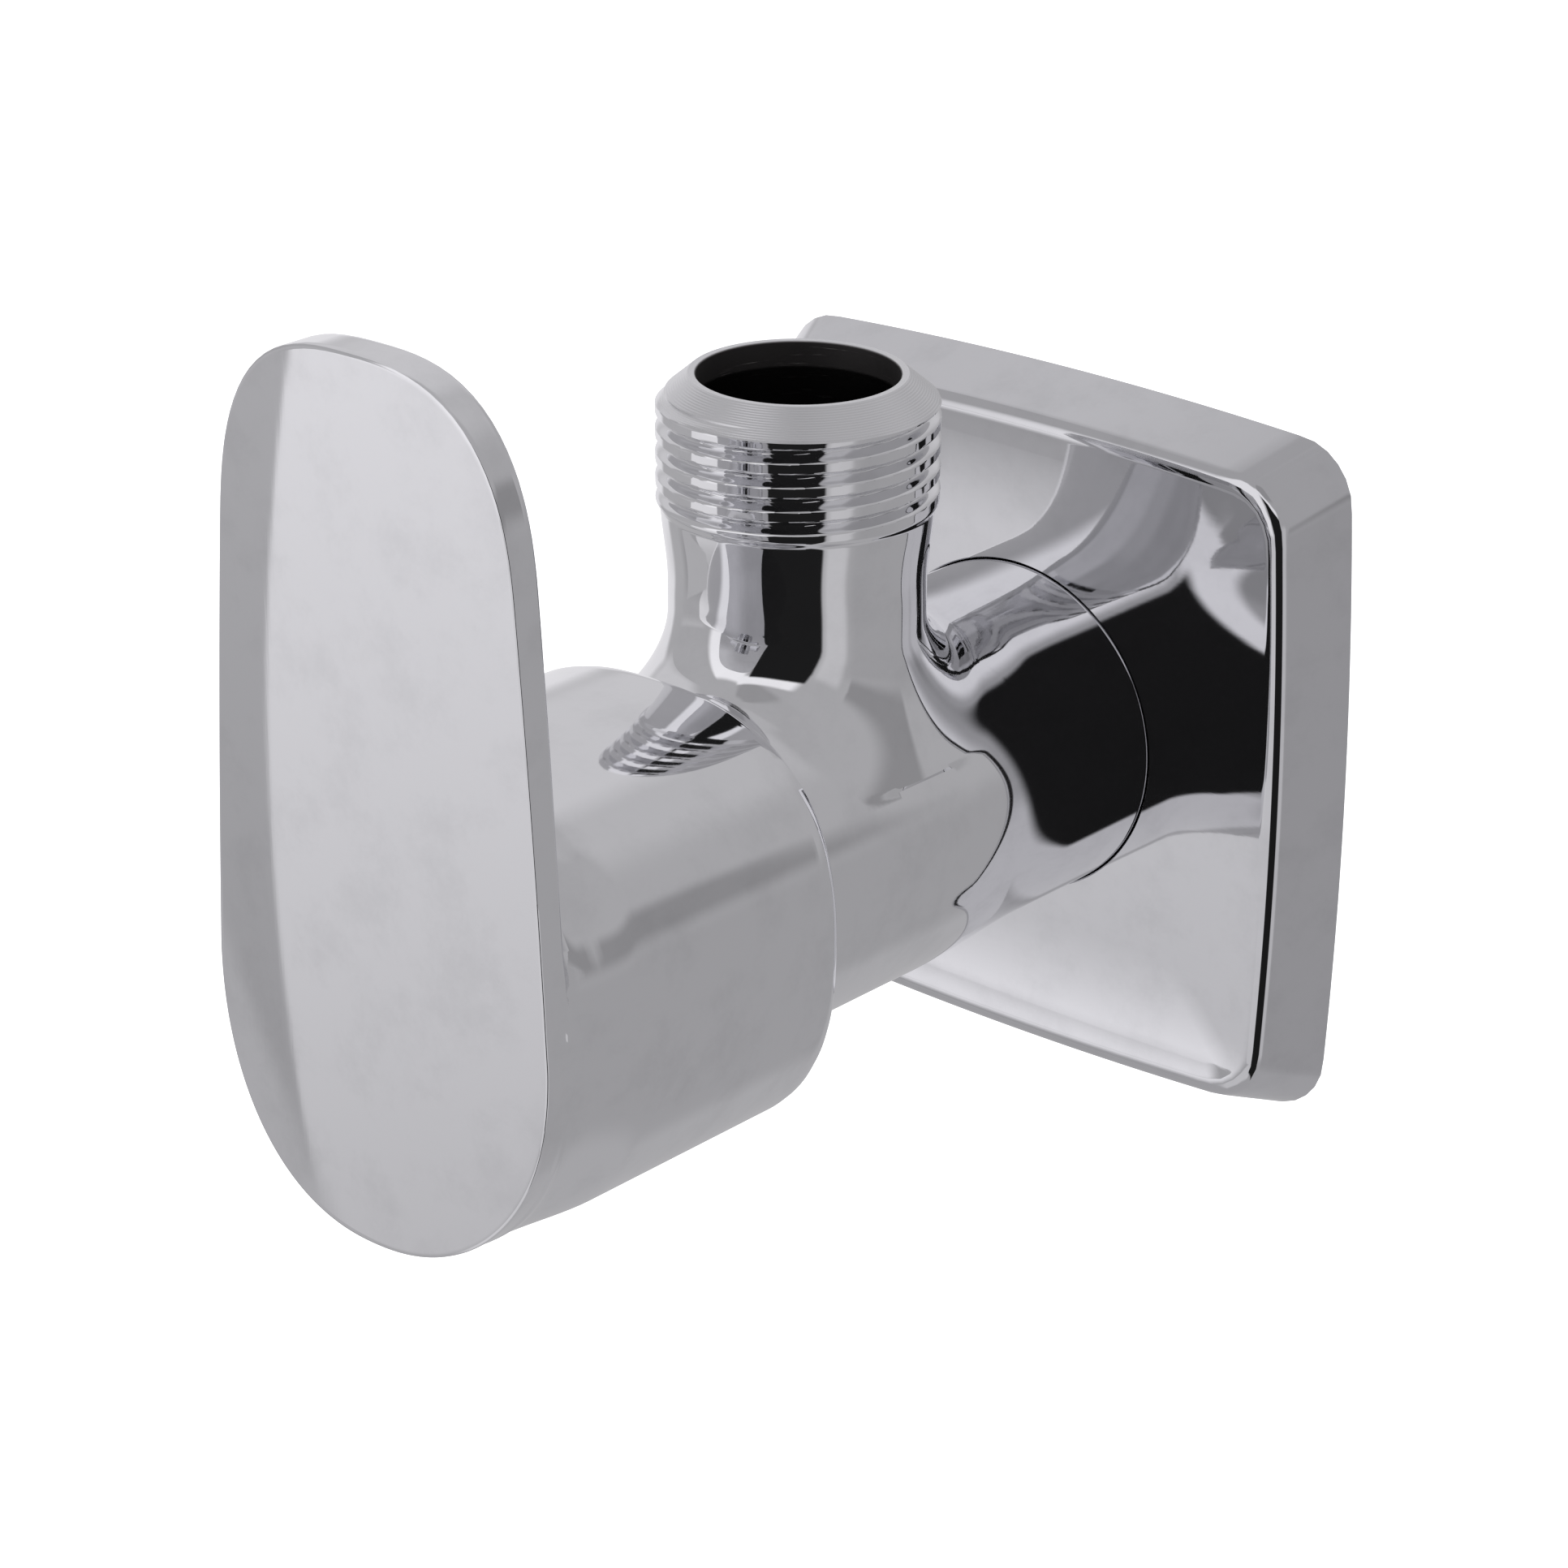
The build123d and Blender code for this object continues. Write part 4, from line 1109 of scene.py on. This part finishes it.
# ------------------------------------------------------------------ finishes on the pieces
@dataclass(frozen=True)
class BodyPlate:
    """The body's plate, with a machined cone at the outlet's mouth, and painted shade with painted
    highlight streaks in the bore.
    """

    plate: Chrome
    top: float
    cone_depth: float
    bore_r: float
    outlet_along: float
    mark_pitch: float = 0.16
    mark_depth: float = 0.000012
    speck_scale: float = 2600.0
    streaks: tuple[float, float, float] = (120.0, 120.0, 3600.0)
    satin: tuple[tuple[float, ...], ...] = ((0.66, 0.66, 0.67), (0.77, 0.77, 0.785))
    # Colours in the bore: the dark one is painted shade in the recess, the light one is for streaks that
    # are painted highlights of scratches
    bore: tuple[tuple[float, ...], ...] = ((0.11, 0.105, 0.105), (0.42, 0.41, 0.40))
    cone_roughness: float = 0.24
    bore_roughness: float = 0.25
    bore_span: tuple[float, float] = (9.0, 9.6)

    def material(self) -> bpy.types.Material:
        """Make the material.

        Returns:
            The material.
        """
        paint = self.plate.paint()
        across, along, height = paint.axes()
        off = along - self.outlet_along * MM
        radius = (across * across + off * off).power(0.5)
        near_mouth = height.step((self.top - self.cone_depth - 0.25) * MM,
                                 (self.top - self.cone_depth + 0.05) * MM)
        in_bore = (1.0 - radius.step((self.bore_r + 0.02) * MM, (self.bore_r + 0.12) * MM)) \
            * height.step(*(end * MM for end in self.bore_span))
        marks = (radius * (2.0 * math.pi / (self.mark_pitch * MM))).sine()
        speck = paint.noise(paint.position, self.speck_scale, 4.0, 0.7)
        satin = paint.blend(near_mouth, *self.satin)
        plated = paint.blend(near_mouth, paint.feed("Base Color"), satin)
        streak_highlight = paint.noise(paint.stretched(self.streaks), 1.0, 4.0, 0.7)
        # Inside the bore the colour is painted dark, as painted shade, with lighter streaks painted as
        # highlights
        paint.set(Base_Color=paint.blend(in_bore, plated, paint.blend(streak_highlight.step(0.60, 0.70), *self.bore)))
        machined = paint.feed("Roughness") + near_mouth * (self.cone_roughness + 0.1 * speck)
        paint.set(Roughness=machined + in_bore * self.bore_roughness)
        ridge = marks * near_mouth + speck * near_mouth
        paint.set(Normal=paint.bump(ridge, 0.35, self.mark_depth, paint.feed("Normal")))
        return paint.material


def dress(thing: bpy.types.Object, material: bpy.types.Material) -> None:
    """Give an object one material, in place of those that it has."""
    if thing.data.materials:
        for slot in thing.material_slots:
            slot.material = material
    else:
        thing.data.materials.append(material)


class InnerPieces:
    """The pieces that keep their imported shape, and their finishes by node."""

    BRASS = Metal("bare_brass", (0.80, 0.60, 0.30), (0.62, 0.43, 0.19))
    STEEL = Metal("bright_steel", (0.55, 0.55, 0.57), (0.38, 0.38, 0.40), 0.22, 0.00035)
    CERAMIC = Dull("white_ceramic", (0.88, 0.87, 0.84), (0.80, 0.79, 0.75), 0.12, 900.0, 0.000002)
    RUBBER = Dull("black_rubber", (0.018, 0.018, 0.02), (0.03, 0.03, 0.032), 0.5, 1400.0, 0.00001)
    PLASTIC = Dull("white_plastic", (0.78, 0.78, 0.76), (0.70, 0.70, 0.68), 0.35, 1200.0, 0.000004)
    FIBRE = Dull("red_fibre", (0.42, 0.09, 0.06), (0.30, 0.06, 0.04), 0.7, 2200.0, 0.00003)

    FINISHES = {
        "cartridge_housing": BRASS, "spindle": BRASS, "spline_insert": BRASS, "slip_washer": BRASS,
        "spindle_circlip": STEEL, "grub_screw": STEEL,
        "fixed_disc": CERAMIC, "moving_disc": CERAMIC,
        "flange_grip_ring": RUBBER, "seat_seal": RUBBER,
        "spindle_o_ring_rear": RUBBER, "spindle_o_ring_front": RUBBER,
        "seal_backing_ring": PLASTIC, "thrust_washer": PLASTIC, "housing_seal": FIBRE,
    }

    def dress(self) -> None:
        """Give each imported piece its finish, made once for each kind."""
        made: dict[str, bpy.types.Material] = {}
        for node, finish in self.FINISHES.items():
            if finish.name not in made:
                made[finish.name] = finish.paint().material
            dress(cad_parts[node], made[finish.name])
            LOG.info("%s: %s", node, finish.name)


# ------------------------------------------------------------------ studio
@dataclass(frozen=True)
class Patch:
    """A patch of the light dome, given by the angles that it spans.

    Args:
        azimuths: Its sides, in degrees from +X towards +Y.
        elevations: Its lower and upper edge, in degrees above the horizon, at its middle.
        light: Brightness inside it.
        soft: Degrees over which its sides and its edges fade.
        lean: Rise of its edges for each degree along.
        bow: Degrees that its sides move for each square degree above or below its middle.
        fade: Rise of its light for each degree up.
    """

    azimuths: tuple[float, float]
    elevations: tuple[float, float]
    light: float
    soft: tuple[float, float] = (4.0, 4.0)
    lean: float = 0.0
    bow: float = 0.0
    fade: float = 0.0

    def glow(self, elevation: Wire) -> "Wire | float":
        """Its light, which may change with height."""
        return self.light + (elevation - sum(self.elevations) / 2.0) * self.fade if self.fade \
            else self.light

    def mask(self, azimuth: Wire, elevation: Wire) -> Wire:
        """1 inside the patch and 0 outside, from wires in degrees."""
        level = elevation - (azimuth - sum(self.azimuths) / 2.0) * self.lean
        off = elevation - sum(self.elevations) / 2.0
        azimuth = azimuth - off * off * self.bow if self.bow else azimuth
        inside = None
        for wire, (low, high), fade in ((azimuth, self.azimuths, self.soft[0]),
                                        (level, self.elevations, self.soft[1])):
            band = wire.step(low - fade / 2.0, low + fade / 2.0) \
                - wire.step(high - fade / 2.0, high + fade / 2.0)
            inside = band if inside is None else inside * band
        return inside


@dataclass
class Studio:
    """Pale floor and backdrop, a soft dome of light with darker and lighter patches, the camera."""

    azimuth: float = 40.77
    elevation: float = 22.66
    roll: float = -0.27
    distance: float = 0.3698
    lens: float = 111.9
    target: tuple[float, float, float] = (-0.00241, -0.030, 0.00182)
    floor_drop: float = 0.30
    tint: tuple[float, float, float] = (0.985, 0.975, 1.0)
    base_light: float = 0.47
    patches: tuple[Patch, ...] = (
        Patch((-82.0, -26.0), (50.0, 82.0), 0.36, (14.0, 8.0)),
        Patch((-128.0, -79.0), (-12.0, 60.0), 1.02, (7.0, 8.0)),
        Patch((-124.0, -68.0), (-60.0, -12.0), 0.72, (9.0, 10.0)),
        Patch((-170.0, -138.0), (-44.0, -10.0), 0.375, (10.0, 6.0), fade=0.012),
        Patch((-146.8, -112.0), (-34.0, -11.0), 0.745, (0.9, 4.0), bow=0.17, fade=0.027),
        Patch((-165.0, -137.0), (-44.0, -24.9), 0.49, (2.0, 0.9), lean=-0.27),
        Patch((-86.0, -30.0), (36.0, 50.0), 1.0, (8.0, 5.0), -0.5),
        Patch((-24.0, -4.0), (-40.0, 12.0), 0.62, (6.0, 10.0)),
        Patch((-74.0, -27.0), (-60.0, 34.0), 0.014, (3.0, 4.0), -0.5),
        Patch((-2.0, 78.0), (-50.0, 2.0), 0.405, (16.0, 14.0)),
        Patch((58.0, 108.0), (32.0, 62.0), 0.56, (24.0, 16.0)),
        Patch((100.0, 180.0), (12.0, 56.0), 0.68, (20.0, 16.0)),
        Patch((4.0, 45.6), (3.0, 17.0), 0.31, (2.4, 8.0)),
        Patch((30.0, 120.0), (60.0, 80.0), 0.52, (14.0, 8.0)),
        Patch((126.0, 170.0), (-26.0, 10.0), 0.85, (8.0, 10.0)),
    )

    def build(self) -> None:
        """Set up dome, floor, backdrop and camera."""
        self._dome()
        pale = Paint("pale_sheet")
        pale.set(Base_Color=(0.90, 0.90, 0.90, 1.0), Roughness=0.7,
                 Emission_Color=(1.0, 1.0, 1.0, 1.0), Emission_Strength=1.0)
        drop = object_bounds()[0][2] - self.floor_drop
        reach = 4.0
        corners = [(-reach, -reach, drop), (reach, -reach, drop), (reach, reach, drop),
                   (-reach, reach, drop)]
        self._sheet("floor", corners, [(0, 1, 2, 3)], pale.material)
        walls = corners + [(x, y, reach) for x, y, _ in corners]
        self._sheet("backdrop", walls, [(0, 4, 5, 1), (1, 5, 6, 2), (2, 6, 7, 3), (3, 7, 4, 0),
                                        (4, 7, 6, 5)], pale.material)
        self._camera()

    def _sheet(self, name: str, corners: Sequence[Sequence[float]], faces: Sequence[Sequence[int]],
               material: bpy.types.Material) -> None:
        """A staged sheet that the polished pieces don't mirror.

        Args:
            name: Name of the sheet.
            corners: Its corners.
            faces: Corner numbers of each face.
            material: Its finish.
        """
        mesh = bpy.data.meshes.new(name)
        mesh.from_pydata(corners, [], faces)
        sheet = place(mesh, name)
        dress(sheet, material)
        sheet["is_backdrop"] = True
        sheet.visible_glossy = False
        sheet.visible_diffuse = False
        sheet.visible_shadow = False

    def _dome(self) -> None:
        """Light the room: base light, and each patch laid over it by its mask."""
        world = bpy.data.worlds.new("room")
        world.use_nodes = True
        board = Board(world.node_tree)
        across, along, height = board.split(board.node("ShaderNodeTexCoord", {}, {}, "Generated"))
        degrees = 180.0 / math.pi
        azimuth = along.arctangent(across) * degrees
        elevation = height.arcsine() * degrees
        light: Wire | float = self.base_light
        for patch in self.patches:
            mask = patch.mask(azimuth, elevation)
            light = light + mask * (patch.glow(elevation) - light)
        ground = world.node_tree.nodes["Background"]
        ground.inputs["Color"].default_value = (*self.tint, 1.0)
        world.node_tree.links.new(light.socket, ground.inputs["Strength"])
        bpy.context.scene.world = world

    def _camera(self) -> None:
        """The camera, aimed at the target."""
        azimuth, elevation = math.radians(self.azimuth), math.radians(self.elevation)
        back = Vector((math.sin(azimuth) * math.cos(elevation),
                       -math.cos(azimuth) * math.cos(elevation), math.sin(elevation)))
        data = bpy.data.cameras.new("camera")
        data.lens = self.lens
        data.sensor_width = 36.0
        data.clip_start = 0.01
        camera = bpy.data.objects.new("camera", data)
        camera.location = Vector(self.target) + back * self.distance
        turn = (-back).to_track_quat("-Z", "Y").to_matrix().to_4x4()
        spun = turn @ Matrix.Rotation(math.radians(-self.roll), 4, "Z")
        camera.rotation_euler = spun.to_euler()
        bpy.context.scene.collection.objects.link(camera)
        bpy.context.scene.camera = camera


# ------------------------------------------------------------------ assembly
def finish_piece(piece: bpy.types.Object, body: str, node: str,
                 material: bpy.types.Material) -> None:
    """Dress a piece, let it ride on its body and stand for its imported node.

    Args:
        piece: The new piece.
        body: Body that carries it.
        node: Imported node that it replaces.
        material: Its finish.
    """
    dress(piece, material)
    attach(piece, body)
    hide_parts(node)
    LOG.info("%s: %d faces, rides on %s", piece.name, len(piece.data.polygons), body)


def main() -> None:
    """Build, dress and light the valve."""
    scene = bpy.context.scene
    scene.view_settings.view_transform = "Standard"
    body = ValveBody()
    plate = BodyPlate(Chrome("body_chrome"), body.top, body.cone_depth, body.bore_r, body.outlet_along)
    finish_piece(body.build(), "valve", "valve_body", plate.material())
    flange = WallFlange()
    # The flange's chrome is the body's plate painted darker: painted shade
    finish_piece(flange.build(), "flange", "wall_flange",
                 Chrome("flange_chrome_shaded", colour=(0.69, 0.69, 0.71)).paint().material)
    handle = LeverHandle()
    finish_piece(handle.build(), "lever", "handle",
                 Chrome("handle_chrome", grain=(900.0, 60.0, 60.0)).paint().material)
    InnerPieces().dress()
    Studio().build()


if __name__ == "__main__":
    main()
